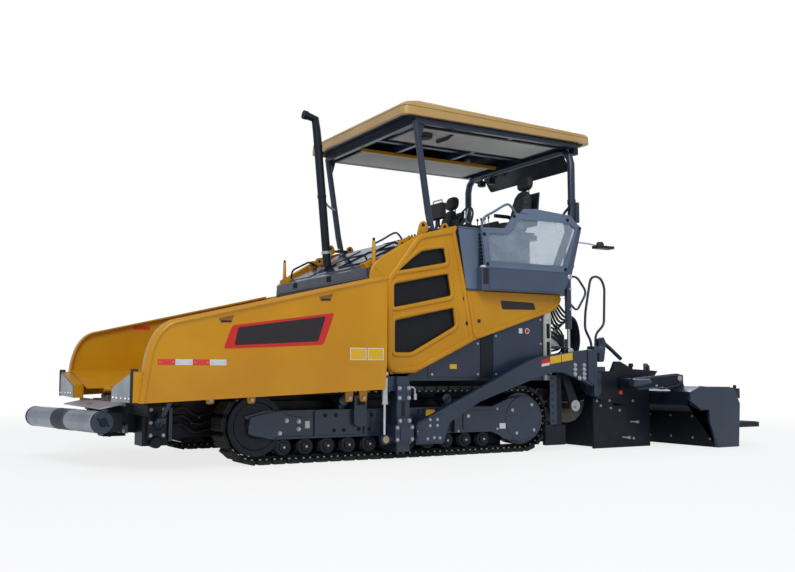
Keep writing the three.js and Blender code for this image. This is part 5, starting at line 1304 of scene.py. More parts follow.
# control desk: consoles with knobs, a wheel and a monitor
meshPiece("desk_top", *box(-3.70, -3.99, -0.96, 0.96, 2.560, 2.585), "plastic", "root", bevel=0.01)
for side, s in sides.items():
    console = plate([(-4.02, 2.30), (-4.02, 2.62), (-4.17, 2.66), (-4.20, 2.60), (-4.10, 2.30)], s * 0.62, s * 0.98)
    meshPiece(f"console_{side}", *console, "plastic", "root", bevel=0.012)
    for index in range(4):
        knob = gather(spun([(0, 0.006), (0.05, 0.005)], (-4.08, s * (0.68 + 0.075 * index), 2.64), upward, 10),
                      spun([(0.045, 0.008), (0.055, 0.014), (0.07, 0.012), (0.078, 0.004)],
                      (-4.08, s * (0.68 + 0.075 * index), 2.64), upward, 14))
        meshPiece(f"console_knob_{side}_{index}", *knob, "black", "root")
wheel = {"centre": (-4.06, 0.45, 2.74), "radius": 0.15, "lean": 0.045}


def onWheel(t):
    x, y, z = wheel["centre"]
    return x - wheel["lean"] * math.cos(t), y + wheel["radius"] * math.sin(t), z + wheel["radius"] * math.cos(t)


def spoke(t):
    x, y, z = wheel["centre"]
    half = (x - 0.022 * math.cos(t), y + 0.07 * math.sin(t), z + 0.07 * math.cos(t))
    return tube([wheel["centre"], half, onWheel(t)], 0.009, 0.01, 8, up=(1, 0.2, 0))


wheelPath = [onWheel(t) for t in fullTurn(40)]
meshPiece("wheel_rim", *outward(tubeAlong(wheelPath, ring(0.012, 10), closed=True, up=(1, 0, 0.3))), "plastic",
    "root")
meshPiece("wheel_hub", *gather(*[spoke(t) for t in (0, 2.1, 4.2)]), "zinc", "root")
meshPiece("wheel_column", *tube([wheel["centre"], (-4.0, 0.45, 2.68), (-3.90, 0.45, 2.58)], 0.022, 0.05, 12),
    "plastic", "root")
meshPiece("monitor_back", *box(-3.795, -3.715, 0.16, 0.44, 2.735, 2.925), "plastic", "root", bevel=0.012)
meshPiece("monitor_glass", *box(-3.795, -3.7975, 0.185, 0.415, 2.755, 2.905), "hoodBlue", "root")
meshPiece("monitor_handle", *tube([(-3.76, 0.20, 2.92), (-3.76, 0.20, 2.965), (-3.76, 0.40, 2.965),
    (-3.76, 0.40, 2.92)], 0.008, 0.02, 8, up=(1, 0, 0.2)), "zinc", "root")
meshPiece("monitor_neck", *spun([(0, 0.05), (0.02, 0.045), (0.10, 0.03), (0.17, 0.028), (0.19, 0.05)],
    (-3.76, 0.30, 2.56), upward, 20), "plastic", "root")
meshPiece("monitor_clutter", *gather(*[box(-3.80 - 0.03 * i, -3.84 - 0.03 * i, 0.02 + 0.13 * i, 0.12 + 0.13 * i,
    2.585, 2.66 + 0.02 * i) for i in range(4)]), "plastic", "root", bevel=0.008)

# cab side: cowl, latch box, slats, the long side box, the side screen's gasket and bolts, lugs, rear devices
deckFace = 1.35
bothSides("cowl_panel", plate([(-3.418, 2.478), (-3.522, 1.815), (-3.672, 1.815), (-3.690, 2.478)], 1.2445, 1.252),
    "paleGrey", "root", bevel=0.005)
bothSides("cowl_top", box(-3.43, -3.695, 0.96, 1.25, 2.484, 2.500), "paleGrey", "root", bevel=0.008)
bothSides("latch_box", box(-3.675, -3.755, 1.262, 1.352, 1.86, 2.045), "plastic", "root", bevel=0.008)
bothSides("latch_cap", spun([(0, 0.04), (0.015, 0.04), (0.03, 0.028), (0.034, 0.004)], (-3.715, 1.305, 2.045),
    upward, 24), "labelWhite", "root")
slats = [box(-3.702, -3.716, 1.24, 1.30, 2.09 + 0.04 * i, 2.115 + 0.04 * i) for i in range(9)]
bothSides("cowl_slats", gather(*slats), "black", "root")
longPanel = plate([(-3.76, 2.043), (-3.76, 1.812), (-4.78, 1.812), (-4.85, 1.86), (-4.93, 2.02), (-4.93, 2.043)],
    deckFace - 0.001, deckFace + 0.008)
bothSides("side_box_panel", longPanel, "slate", "root", bevel=0.005)
rearFlap = plate([(-4.836, 1.86), (-4.95, 2.03), (-5.10, 2.56), (-5.06, 2.60), (-4.90, 2.12), (-4.836, 2.045)],
    1.346, 1.353)
bothSides("screen_rear_flap", rearFlap, "slate", "root", bevel=0.003)
screenBolts = [(-3.70, 2.42), (-3.745, 2.09), (-4.86, 2.09), (-4.12, 2.655), (-4.90, 2.675), (-5.08, 2.585)]
bothSides("screen_bolts", sideBolts(screenBolts, 1.346, 0.034, 0.012), "black", "root")
glassEdge = roundedRing([(-3.742, 2.440), (-4.035, 2.452), (-4.180, 2.636), (-4.925, 2.646), (-5.040, 2.575),
    (-4.838, 2.120), (-3.778, 2.120)], 0.04)
screenStrip = [(-0.012, -0.010), (0.006, -0.010), (0.006, 0.016), (-0.012, 0.016)]
bothSides("screen_gasket", edging(glassEdge, 1.332, screenStrip), "paleGrey", "root", sharp=50)
bothSides("screen_bulge", plate([(-4.23, 2.70), (-4.27, 2.755), (-4.45, 2.768), (-4.95, 2.735), (-5.04, 2.66)],
    1.285, 1.345), "paleGrey", "root", bevel=0.01)
railSpots = [(-3.72, 1.27, 2.49), (-3.735, 1.27, 2.62), (-3.86, 1.27, 2.68), (-4.06, 1.27, 2.80),
    (-4.12, 1.27, 2.80), (-4.20, 1.27, 2.70)]
bothSides("screen_rail", tube(railSpots, 0.014, 0.07, 12), "paleGrey", "root", sharp=50)
for index, x in enumerate((-3.02, -3.30)):
    lug = plate(roundedRing([(x - 0.085, 2.435), (x + 0.075, 2.37), (x + 0.03, 2.53), (x - 0.04, 2.545)], 0.05),
        1.13, 1.152)
    bothSides(f"cab_lug_{index}", lug, "amber", "root", bevel=0.004)
    bothSides(f"cab_lug_hole_{index}", spun([(0, 0.02), (0.0235, 0.02)], (x - 0.005, 1.1295, 2.495), sideways, 18),
        "hole", "root")
mirrorArm = tube([(-5.10, 1.20, 2.45), (-5.28, 1.24, 2.44), (-5.42, 1.26, 2.42)], 0.010, 0.05, 8)
bothSides("rear_device_arm", mirrorArm, "zinc", "root")
device = gather(box(-5.40, -5.66, 1.20, 1.32, 2.385, 2.42),
    spun([(0, 0.05), (0.03, 0.045), (0.045, 0.03)], (-5.48, 1.26, 2.42), upward, 18))
bothSides("rear_device", device, "plastic", "root", bevel=0.006)
bothSides("rear_device_lamp",
    spun([(0, 0.045), (0.03, 0.045), (0.045, 0.035), (0.045, 0.004)], (-5.03, 1.22, 2.15), (-1, 0.3, 0), 24),
    "lamp", "root")
bothSides("deck_rear_rail", tube([(-4.98, 1.12, 2.06), (-5.03, 1.12, 2.10), (-5.07, 1.12, 2.60),
    (-5.02, 1.12, 2.78), (-5.14, 1.12, 2.90)], 0.016, 0.06, 10), "black", "root")
for side, s in sides.items():
    meshPiece(f"deck_plate_{side}", *box(-3.78, -4.98, s * 0.03, s * 1.18, 2.050, 2.056), "tread", "root")
print("canopy, seats and platform made")

# side compartments: raised panels, bolts, blank labels, a slotted rack, a shield and the rear panel's trim
flank = 1.196
bothSides("flank_pilaster", plate([(-3.74, 1.268), (-3.905, 1.325), (-3.905, 0.84), (-3.74, 0.84)],
    flank - 0.002, flank + 0.010), "black", "root", bevel=0.003)
bothSides("flank_panel_front",
    plate([(-3.05, 0.985), (-3.44, 1.165), (-3.735, 1.262), (-3.735, 0.84), (-3.05, 0.84)],
    flank - 0.002, flank + 0.006), "steelBlue", "root", bevel=0.003)
bothSides("flank_panel_rear",
    plate([(-3.915, 1.333), (-4.20, 1.428), (-4.62, 1.560), (-4.62, 0.84), (-3.915, 0.84)],
    flank - 0.002, flank + 0.008), "steelBlue", "root", bevel=0.003)
flankBolts = [(-3.70, 0.87), (-3.70, 1.21), (-3.10, 0.87), (-3.95, 0.87), (-4.59, 0.87), (-4.59, 1.22),
    (-4.59, 1.50), (-3.95, 1.30)]
bothSides("flank_bolts", sideBolts(flankBolts, flank + 0.007, 0.022, 0.009), "zinc", "root")
bothSides("flank_label_left", box(-4.275, -4.325, flank + 0.007, flank + 0.0092, 1.335, 1.395), "labelWhite",
    "root")
bothSides("flank_label_round", spun([(0, 0.032), (0.0022, 0.032)], (-4.395, flank + 0.007, 1.365), sideways, 32),
    "labelWhite", "root")
bothSides("flank_label_dot", spun([(0, 0.024), (0.0032, 0.024)], (-4.395, flank + 0.007, 1.365), sideways, 32),
    "labelRed", "root")
bothSides("flank_small_label", box(-3.33, -3.42, flank + 0.005, flank + 0.0072, 0.93, 0.98), "labelYellow", "root")
rack = plate([(-4.628, 1.575), (-4.722, 1.600), (-4.722, 0.80), (-4.628, 0.80)], 1.2, 1.236)
bothSides("rack_post", rack, "rack", "root", bevel=0.004)
rackSlots = [box(-4.652, -4.700, 1.2355, 1.2375, z, z + 0.17) for z in (1.285, 1.075, 0.86)]
bothSides("rack_slots", gather(*rackSlots), "hole", "root")
bothSides("rack_bolts", sideBolts([(-4.675, 1.50), (-4.675, 1.265)], 1.236, 0.022, 0.01), "zinc", "root")
shield = box(-4.665, -4.765, 1.2625, 1.270, 0.295, 0.86)
bothSides("shield_strip", shield, "steelBlue", "root", bevel=0.004)
shieldHoles = [spun([(0, 0.011), (0.0012, 0.011)], (-4.70, 1.270, z), sideways, 16)
    for z in np.linspace(0.34, 0.82, 7)]
bothSides("shield_holes", gather(*shieldHoles), "hole", "root")
bothSides("shield_skirt", box(-4.60, -4.90, 1.2, 1.262, 0.06, 0.29), "black", "root", bevel=0.01)
rearTrim = ribbon([(-3.56, 1.765), (-3.655, 1.275), (-4.20, 1.452), (-4.72, 1.615), (-4.835, 1.70),
    (-4.855, 1.765)], 0.05, 0.012, 1.2323, 0.06)
bothSides("rear_panel_trim", rearTrim, "amber", "root", sharp=50)
for index, (x, z) in enumerate([(-3.62, 1.45), (-3.70, 1.46)]):
    catch = spun([(0, 0.022), (0.006, 0.022), (0.010, 0.012), (0.010, 0.004)], (x, 1.2323, z), sideways, 24)
    bothSides(f"panel_catch_{index}", catch, "plastic", "root")
bothSides("panel_plate", plate(roundedRing([(-4.02, 1.60), (-4.50, 1.61), (-4.47, 1.69), (-4.00, 1.70)], 0.02),
    1.2323, 1.2345), "labelDark", "root")

# tow guides: bolted clamps, a wear strip, a sensor, and the level cylinder with its rod, eye and pin
guideFace = 1.42
levelX, levelY = -2.425, 1.36
for index, (z0, z1, body, shift) in enumerate([(0.60, 0.76, "root", 0.0), (0.34, 0.43, "tow_points", 0.010)]):
    inner = guideFace - 0.004 + shift
    bothSides(f"guide_clamp_{index}", box(-2.53, -2.70, inner, inner + 0.02, z0, z1), "steelBlue",
        body, bevel=0.005)
    clampBolts = [(x, z) for x in (-2.56, -2.67) for z in ((0.63, 0.73) if index == 0 else (0.398,))]
    bothSides(f"guide_bolts_{index}", sideBolts(clampBolts, inner + 0.02, 0.034, 0.016), "zinc", body)
bothSides("guide_wear_strip", box(-2.59, -2.634, guideFace - 0.002, guideFace + 0.001, 0.44, 0.59), "black", "root")
sliderBolts = [(x, z) for x in (-2.525, -2.70) for z in (0.21, 0.33)]
bothSides("slider_bolts", sideBolts(sliderBolts, 1.453, 0.032, 0.014), "zinc", "tow_points")
bothSides("slider_plate", box(-2.56, -2.665, 1.452, 1.462, 0.20, 0.34), "steelBlue", "tow_points", bevel=0.004)
bothSides("guide_sensor", gather(tube([(-2.70, 1.40, 0.74), (-2.755, 1.41, 0.735), (-2.76, 1.41, 0.66)],
    0.010, 0.03, 8), spun([(0, 0.02), (0.06, 0.02)], (-2.76, 1.41, 0.61), upward, 14)), "zinc", "root")
levelCap = gather(spun([(0, 0.045), (0.03, 0.045), (0.04, 0.03)], (levelX, levelY, 0.862), upward, 24),
    spun([(0, 0.043), (0.03, 0.043)], (levelX, levelY, 0.565), upward, 24))
bothSides("level_cap", levelCap, "chrome", "root")
levelSleeve = spun([(0, 0.0405), (0.24, 0.0405)], (levelX, levelY, 0.595), upward, 28)
bothSides("level_sleeve", levelSleeve, "chrome", "root")
levelRod = spun([(0, 0.0168), (0.44, 0.0168)], (levelX, levelY, 0.26), upward, 24)
bothSides("level_rod", levelRod, "chrome", "tow_points")
bothSides("level_eye", spun([(0, 0.05), (0.008, 0.052), (0.05, 0.052), (0.058, 0.05)], (levelX, 1.33, 0.21),
    sideways, 28), "steelBlue", "tow_points")
bothSides("level_pin", spun([(0, 0.034), (0.010, 0.036), (0.016, 0.028), (0.012, 0.014), (0.012, 0.004)],
    (levelX, 1.388, 0.21), sideways, 28), "pinCap", "tow_points")
for index, shift in enumerate((0.0, 0.05)):
    pipe = tube([(-2.46 - shift, 1.31, 0.72), (-2.46 - shift, 1.27, 0.80), (-2.46 - shift, 1.22, 0.86),
        (-2.46 - shift, 0.98, 0.88)], 0.008, 0.04, 8, up=forward)
    bothSides(f"level_pipe_{index}", pipe, "zinc", "root")

# tow arms: bolt groups, a pad, blank labels, end fittings, and the lift cylinder's pin, collar and ports
armFace = 1.42
armBolts = [(x, z) for x in (-4.916, -5.052) for z in (0.977, 0.926, 0.874)] + [(-4.98, 0.828), (-5.05, 0.828)]
bothSides("arm_bolts", sideBolts(armBolts, armFace, 0.040, 0.018), "zinc", "screed")
padBolts = [(-2.90, 0.205), (-2.98, 0.215), (-3.05, 0.21)] + [(x, z) for x in (-2.93, -3.02) for z in (0.34, 0.40)]
bothSides("arm_pad_bolts", sideBolts(padBolts, armFace + 0.012, 0.026, 0.012), "zinc", "screed")
armPad = plate(roundedRing([(-2.775, 0.165), (-2.775, 0.335), (-2.83, 0.375), (-3.10, 0.47), (-3.16, 0.34),
    (-3.10, 0.17)], 0.03), armFace - 0.002, armFace + 0.012)
bothSides("arm_pad", armPad, "steelBlue", "screed", bevel=0.004)
bothSides("tow_pin_cap", spun([(0, 0.04), (0.012, 0.042), (0.02, 0.034), (0.02, 0.004)], (-2.80, 1.432, 0.262),
    sideways, 28), "steelBlue", "tow_points")
for name, outline, finish in (
    ("arm_label_red", [(-4.425, 0.985), (-4.54, 1.005), (-4.54, 1.055), (-4.425, 1.035)], "labelRed"),
    ("arm_label_white", [(-4.425, 0.955), (-4.54, 0.975), (-4.54, 1.012), (-4.425, 0.99)], "labelWhite"),
    ("arm_label_yellow_a", [(-4.55, 0.985), (-4.71, 1.010), (-4.71, 1.095), (-4.55, 1.070)], "labelYellow"),
    ("arm_label_yellow_b", [(-4.72, 1.012), (-4.88, 1.036), (-4.88, 1.120), (-4.72, 1.096)], "labelYellow"),
):
    bothSides(name, plate(outline, armFace - 0.0005, armFace + (0.0022 if finish == "labelRed" else 0.0018)),
        finish, "screed")
armEnd = plate([(-5.105, 0.80), (-5.105, 1.152), (-5.195, 1.163), (-5.195, 0.745)],
    armFace - 0.002, armFace + 0.014)
bothSides("arm_end_plate", armEnd, "steelBlue", "screed", bevel=0.005)
bothSides("arm_end_post", gather(box(-5.205, -5.26, 1.30, 1.42, 0.62, 1.20),
    box(-5.26, -5.40, 1.33, 1.40, 1.12, 1.19), box(-5.26, -5.40, 1.33, 1.40, 0.905, 0.96)), "steelBlue", "screed",
    bevel=0.006)
bothSides("arm_end_cover", plate(roundedRing([(-5.27, 0.62), (-5.27, 0.905), (-5.36, 0.905), (-5.36, 0.66),
    (-5.31, 0.60)], 0.03), 1.352, 1.372), "steelBlue", "screed", bevel=0.006)
liftEye = spun([(0, 0.030), (0.012, 0.032), (0.018, 0.024), (0.018, 0.004)], (-4.915, 1.346, 2.005), sideways, 24)
bothSides("lift_pin_cap", liftEye, "zinc", "root")
bothSides("lift_collar", hoop([(0, 0.036), (0, 0.043), (0.03, 0.043), (0.03, 0.036)], (-4.915, 1.316, 1.520),
    upward, 28), "steelBlue", "lift_barrel_{}")
bothSides("lift_ports", gather(spun([(0, 0.014), (0.05, 0.014)], (-4.915, 1.34, 1.62), (0.4, 1, 0), 12),
    spun([(0, 0.014), (0.05, 0.014)], (-4.915, 1.34, 1.86), (0.4, 1, 0), 12)), "zinc", "lift_barrel_{}")

# behind the compartments: hoses, a valve block and a louvred wall
for index in range(6):
    s = 0.12 + 0.035 * index
    bundle = hosePath([(-4.98, 1.10 - s, 1.78), (-5.16, 1.08 - s, 1.74 - s), (-5.36, 1.05 - s, 1.52),
        (-5.44, 1.02 - s, 1.28), (-5.40, 1.00 - s, 1.06), (-5.40, 1.00 - s, 0.98)], 0.014)
    bothSides(f"hose_bundle_{index}", bundle, "hose", "root")
for index in range(4):
    s = 0.05 * index
    loop = hosePath([(-4.75, 1.12, 1.50 - s), (-4.90, 1.14, 1.42 - s), (-5.00, 1.12, 1.30 - s),
        (-4.98, 1.08, 1.18 - s), (-4.86, 1.04, 1.14 - s)], 0.012)
    bothSides(f"hose_loop_{index}", loop, "hose", "root")
valve = gather(box(-4.80, -5.02, 0.92, 1.12, 1.20, 1.34),
    *[spun([(0, 0.022), (0.04, 0.022), (0.045, 0.014), (0.07, 0.014)], (-4.83 - 0.055 * i, 1.02, 1.34), upward, 12)
    for i in range(4)])
bothSides("valve_block", valve, "zinc", "root", bevel=0.004)
bothSides("valve_bracket", gather(box(-4.70, -5.06, 0.90, 1.14, 1.17, 1.20),
    box(-4.70, -4.74, 0.90, 1.14, 1.045, 1.20)), "steelBlue", "root", bevel=0.004)
meshPiece("rear_wall", *box(-4.745, -4.76, -1.0, 1.0, 1.05, 1.79), "black", "root")
meshPiece("rear_wall_louvres",
    *gather(*[box(-4.758, -4.775, -0.7, 0.7, 1.15 + 0.06 * i, 1.18 + 0.06 * i) for i in range(9)]), "black", "root",
    bevel=0.003)

# auger: nuts at its ends and an apron above it
for side, s in sides.items():
    nut = gather(spun([(0, 0.03), (0.05, 0.03)], (-5.05, s * 1.2555, 0.505), (0, s, 0), 6),
        spun([(0, 0.065), (0.012, 0.065)], (-5.05, s * 1.2555, 0.505), (0, s, 0), 28))
    meshPiece(f"auger_nut_{side}", *nut, "zinc", "root")
meshPiece("auger_apron", *plate([(-4.90, 0.70), (-4.90, 0.86), (-4.955, 0.86), (-4.92, 0.70)], -1.22, 1.22),
    "black", "root")

# screed: front and end plates, bolts, grips, levers, the stepped deck, lugs, knobs, wires and a red lamp
meshPiece("screed_front_plate",
    *plate([(-5.30, 0.02), (-5.30, 0.50), (-5.33, 0.62), (-5.345, 0.62), (-5.315, 0.50), (-5.315, 0.02)],
    -1.27, 1.27), "black", "screed")
bothSides("screed_end_plate",
    plate([(-5.285, 0.0), (-5.285, 0.908), (-5.60, 0.908), (-5.60, 0.50), (-5.82, 0.50), (-5.82, 0.0)],
    1.272, 1.304), "black", "screed", bevel=0.004)
endBolts = [(-5.34, 0.86), (-5.54, 0.86), (-5.34, 0.56), (-5.54, 0.56), (-5.40, 0.50), (-5.70, 0.44), (-5.56, 0.47),
    (-5.92, 0.55), (-5.92, 0.10)]
bothSides("screed_end_bolts", sideBolts(endBolts, 1.304, 0.026, 0.012), "zinc", "screed")
for index, (x, z) in enumerate([(-5.88, 0.30), (-5.74, 0.12)]):
    grip = gather(spun([(0, 0.010), (0.07, 0.010)], (x, 1.30, z), (-0.4, 1, 0), 12),
        spun([(0, 0.018), (0.03, 0.018)], (x - 0.028, 1.37, z), (-0.4, 1, 0), 14))
    bothSides(f"screed_grip_{index}", grip, "zinc", "screed")
leverCheek = roundedRing([(-5.60, 1.02), (-5.60, 1.30), (-5.68, 1.33), (-5.72, 1.26), (-5.68, 1.02)], 0.03)
for index, y in enumerate((0.40, 1.05)):
    lever = gather(
        tube([(-5.66, y, 1.28), (-5.80, y, 1.19), (-5.98, y, 1.06)], 0.024, 0.02, 12),
        plate(leverCheek, y - 0.025, y - 0.008),
        plate(leverCheek, y + 0.008, y + 0.025),
        spun([(0, 0.028), (0.07, 0.028)], (-5.66, y - 0.035, 1.28), sideways, 18),
    )
    bothSides(f"screed_lever_{index}", lever, "steelBlue", "screed")
deckStep = gather(box(-5.60, -6.25, -1.285, 1.285, 0.885, 0.905), box(-5.80, -6.20, -1.27, 1.27, 0.66, 0.89))
meshPiece("screed_deck", *deckStep, "steelBlue", "screed", bevel=0.006)
meshPiece("screed_deck_tread", *box(-5.66, -6.20, -1.26, 1.26, 0.905, 0.909), "tread", "screed")
for index, (x, z) in enumerate([(-5.75, 0.94), (-6.20, 0.93)]):
    lug = plate(roundedRing([(x - 0.05, 0.87), (x + 0.05, 0.87), (x + 0.045, z + 0.06), (x - 0.045, z + 0.06)],
        0.04), 1.255, 1.275)
    bothSides(f"screed_lug_{index}", lug, "steelBlue", "screed", bevel=0.003)
    bothSides(f"screed_lug_hole_{index}", spun([(0, 0.02), (0.0215, 0.02)], (x, 1.2545, z + 0.01), sideways, 18),
        "hole", "screed")
knobs = gather(*[spun([(0, 0.02), (0.05, 0.02), (0.06, 0.03), (0.09, 0.03), (0.10, 0.02)], (x, 1.15, 0.905),
    upward, 16) for x in (-6.05, -6.30)])
bothSides("screed_knobs", knobs, "plastic", "screed")
wires = [hosePath([(-5.72, 0.62 - 0.12 * i, 0.91), (-5.66, 0.58 - 0.12 * i, 1.00), (-5.58, 0.58 - 0.1 * i, 0.99),
    (-5.52, 0.60 - 0.1 * i, 0.91)], 0.010) for i in range(3)]
bothSides("screed_wires", gather(*wires), "hose", "screed")
red = spun([(0, 0.028), (0.03, 0.026), (0.04, 0.012)], (-5.70, 1.31, 0.655), sideways, 20)
bothSides("screed_red_lamp", red, "reflectRed", "screed")

# handrails at the back, on the screed and on the platform
railFoot = [(-5.52, 1.02, 0.93), (-5.53, 1.02, 1.26), (-5.43, 1.02, 1.42), (-5.44, 1.02, 1.62), (-5.53, 1.02, 2.04),
    (-5.60, 1.02, 2.08), (-5.70, 1.02, 2.06), (-5.76, 1.02, 1.95), (-5.74, 1.02, 1.48), (-5.60, 1.02, 1.36),
    (-5.585, 1.02, 0.93)]
bothSides("rear_handrail", tube(railFoot, 0.0155, 0.06, 12), "steelBlue", "screed", sharp=60)
bothSides("deck_handrail", tube([(-5.03, 1.14, 2.02), (-5.20, 1.14, 2.05), (-5.36, 1.14, 1.86), (-5.20, 1.14, 1.62),
    (-5.02, 1.14, 1.78)], 0.014, 0.07, 10), "steelBlue", "root", sharp=60)

# extensions: the arm's tube, rim, pin and bolts, the top plate, and the front plate with its bolts
extension = "screed_extension_{}"
bothSides("extension_arm_tube",
    spun([(0, 0.045), (0.27, 0.045), (0.28, 0.04)], (-5.55, 1.672, 0.775), (-1, 0, 0), 28), "steelBlue", extension)
bothSides("extension_arm_rim",
    ribbon([(-5.70, 0.70), (-5.75, 0.82), (-6.33, 0.862), (-6.435, 0.81), (-6.37, 0.735), (-6.10, 0.70),
    (-5.95, 0.715), (-5.70, 0.70)], 0.022, 0.007, 1.62, 0.03), "steelBlue", extension, sharp=50)
bothSides("extension_arm_pin",
    spun([(0, 0.035), (0.012, 0.035), (0.016, 0.02), (0.016, 0.004)], (-6.385, 1.62, 0.82), sideways, 24), "zinc",
    extension)
bothSides("extension_arm_bolts", sideBolts([(-5.78, 0.745), (-5.78, 0.80), (-6.0, 0.735)], 1.62, 0.024, 0.012),
    "zinc", extension)
hoodTopPlate = plate([(-6.27, 0.655), (-6.42, 0.705), (-6.98, 0.705), (-6.98, 0.72), (-6.41, 0.722),
    (-6.255, 0.668)], 0.73, 1.876)
bothSides("extension_top", hoodTopPlate, "steelBlue", extension, bevel=0.003)
tamper = plate([(-6.255, 0.655), (-6.245, 0.50), (-6.42, 0.425), (-6.68, 0.425), (-6.68, 0.05), (-6.665, 0.05),
    (-6.665, 0.44), (-6.41, 0.44), (-6.232, 0.51), (-6.24, 0.655)], 0.73, 1.876)
bothSides("extension_front", tamper, "black", extension, bevel=0.002)
bothSides("extension_front_bolts",
    bolts([(-6.664, y, z) for y in (0.85, 1.2, 1.55, 1.82) for z in (0.10, 0.36)], 0.026, 0.012, forward), "zinc",
    extension)

# end gates: a boss, holes, framed windows, a roller with a pale hub, a height wheel, hooks, and a walkway
gateFace = 1.92


def onGate(name, shape, finish, bevel=0.0):
    p, f = shape
    bothSides(name, (np.asarray(p, float) - (0, 0.0063, 0), f), finish, extension, bevel=bevel)


onGate("gate_boss", spun([(0, 0.038), (0.004, 0.038), (0.004, 0.024), (0.0042, 0.004)],
    (-6.471, gateFace + 0.0015, 0.685), sideways, 28), "steelBlue")
gateHoles = [(-6.35, 0.62, 0.014), (-6.84, 0.66, 0.024), (-6.56, 0.62, 0.012), (-6.93, 0.50, 0.012),
    (-6.80, 0.29, 0.012), (-6.66, 0.10, 0.012), (-6.98, 0.30, 0.010)]
onGate("gate_holes", gather(*[spun([(0, r), (0.0062, r)], (x, gateFace, z), sideways, 24)
    for x, z, r in gateHoles]), "hole")
gateWindows = [(-6.700, -6.770, 0.535, 0.61), (-6.775, -6.835, 0.395, 0.47), (-6.90, -6.94, 0.39, 0.43)]
panes = [box(x0, x1, gateFace, gateFace + 0.0062, z0, z1) for x0, x1, z0, z1 in gateWindows]
onGate("gate_windows", gather(*panes), "hole")
gateStrip = [(-0.006, -0.004), (0.006, -0.004), (0.006, 0.0), (-0.006, 0.0)]
gateOpenings = [(-6.695, -6.775, 0.53, 0.615), (-6.77, -6.84, 0.39, 0.475)]
frames = [edging(roundedRing([(x0, z0), (x1, z0), (x1, z1), (x0, z1)], 0.01), gateFace + 0.0055, gateStrip)
    for x0, x1, z0, z1 in gateOpenings]
onGate("gate_window_frames", gather(*frames), "steelBlue")
bothSides("gate_roller", spun([(0, 0.05), (0.08, 0.05)], (-6.635, 1.80, 0.388), sideways, 32), "hose", extension)
bothSides("gate_roller_hub", spun([(0, 0.03), (0.004, 0.03), (0.004, 0.012), (0.002, 0.004)], (-6.635, 1.88, 0.388),
    sideways, 28), "labelWhite", extension)
gateWheel = gather(hoop([(-0.03, 0.050), (0.0, 0.050), (0.0, 0.060), (-0.03, 0.060)], (-6.862, 1.916, 0.150),
    sideways, 32), spun([(-0.03, 0.022), (0.0, 0.022)], (-6.862, 1.916, 0.150), sideways, 20))
bothSides("gate_wheel", gateWheel, "zinc", extension)
hooks = [tube([(-6.73 - 0.12 * i, 1.905, 0.22), (-6.76 - 0.12 * i, 1.914, 0.19), (-6.745 - 0.12 * i, 1.912, 0.14),
    (-6.715 - 0.12 * i, 1.905, 0.15)], 0.006, 0.03, 8) for i in range(3)]
bothSides("gate_hooks", gather(*hooks), "zinc", extension)
bothSides("gate_back_brackets",
    gather(box(-6.99, -7.06, 1.70, 1.87, 0.20, 0.28), box(-6.99, -7.09, 1.78, 1.87, 0.58, 0.66),
    box(-7.0, -7.08, 1.60, 1.72, 0.40, 0.46)), "steelBlue", extension, bevel=0.006)
bothSides("gate_sensor", gather(box(-7.03, -7.12, 1.82, 1.90, 0.58, 0.70),
    spun([(0, 0.02), (0.05, 0.02)], (-7.075, 1.86, 0.69), upward, 16)), "plastic", extension, bevel=0.004)
walk = [box(-7.085 - 0.045 * i, -7.11 - 0.045 * i, 0.78, 1.84, 0.2845, 0.290) for i in range(9)]
bothSides("walkway_bars", gather(*walk), "tread", extension)
print("rear and screed made")


# floor, sky and lamps

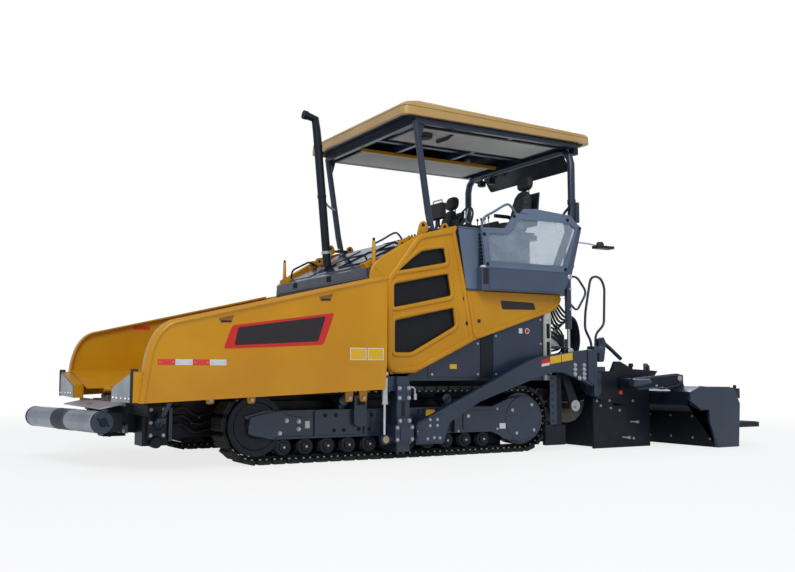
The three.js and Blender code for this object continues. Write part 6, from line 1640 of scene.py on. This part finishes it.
def addStage():
    floor = meshPiece("floor", [(-60, -60, 0), (60, -60, 0), (60, 60, 0), (-60, 60, 0)], [[0, 1, 2, 3]],
        "labelWhite", "root")
    floor.parent = None
    f = Finish("pale_floor")
    seen = f.node("LightPath", {}, {}, "Is Camera Ray")
    mirror = f.node("LightPath", {}, {}, "Is Glossy Ray")
    pale = f.node("BsdfDiffuse", {}, {"Color": (0.8, 0.8, 0.8, 1)})
    white = f.node("Emission", {}, {"Color": (1, 1, 1, 1), "Strength": 1.0})
    far = f.node("VectorMath", {"operation": "LENGTH"}, {0: f.place}, 1).clip(5.5, 15.0)
    share = (seen * (far * 0.3 + 0.7) + mirror * 0.3).clip(0.0, 1.0)
    f.nodeOutput(f.node("MixShader", {}, {0: share, 1: pale, 2: white}))
    floor.data.materials[0] = f.material


def addSky():
    world = bpy.data.worlds.new("soft_sky")
    bpy.context.scene.world = world
    world.use_nodes = True
    tree = world.node_tree
    tree.nodes.clear()
    f = Finish("sky_nodes")
    bpy.data.materials.remove(f.material)
    f.tree = tree
    way = f.node("TexCoord", {}, {}, "Generated")
    height = f.node("SeparateXYZ", {}, {"Vector": way}, 2)
    cloud = f.node("TexNoise", {}, {"Vector": way, "Scale": 3.0, "Detail": 5.0, "Roughness": 0.55}).clip(0.4, 0.66)
    overhead = f.blend(cloud, (0.42, 0.55, 0.75, 1), (1.0, 1.0, 1.0, 1))
    sky = f.blend(height.clip(0.02, 0.55), (0.95, 0.96, 0.98, 1), overhead)
    lit = f.node("Background", {}, {"Color": sky, "Strength": 0.62})
    seen = f.node("Background", {}, {"Color": (1, 1, 1, 1), "Strength": 1.0})
    camera = f.node("LightPath", {}, {}, "Is Camera Ray")
    passed = f.node("LightPath", {}, {}, "Is Transmission Ray")
    shown = f.node("MixShader", {}, {0: (camera + passed).clip(0.0, 1.0), 1: lit, 2: seen})
    made = tree.nodes.new("ShaderNodeOutputWorld")
    tree.links.new(shown.out, made.inputs["Surface"])


lamps = {
    "key": {"place": (6.0, 9.0, 11.0), "aim": (0, 0, 1.2), "size": 7.0, "power": 900},
    "rear": {"place": (-9.0, -5.0, 9.0), "aim": (-1, 0, 1.5), "size": 6.0, "power": 420},
}


def addLamps(setup):
    for name, lamp in setup.items():
        data = bpy.data.lights.new(name, "AREA")
        data.energy, data.size = lamp["power"], lamp["size"]
        light = bpy.data.objects.new(name, data)
        bpy.context.scene.collection.objects.link(light)
        light.location = lamp["place"]
        light.rotation_euler = (Vector(lamp["aim"]) - Vector(lamp["place"])).to_track_quat("-Z", "Y").to_euler()


addStage()
addSky()
addLamps(lamps)

bpy.context.scene.view_settings.view_transform = "Standard"
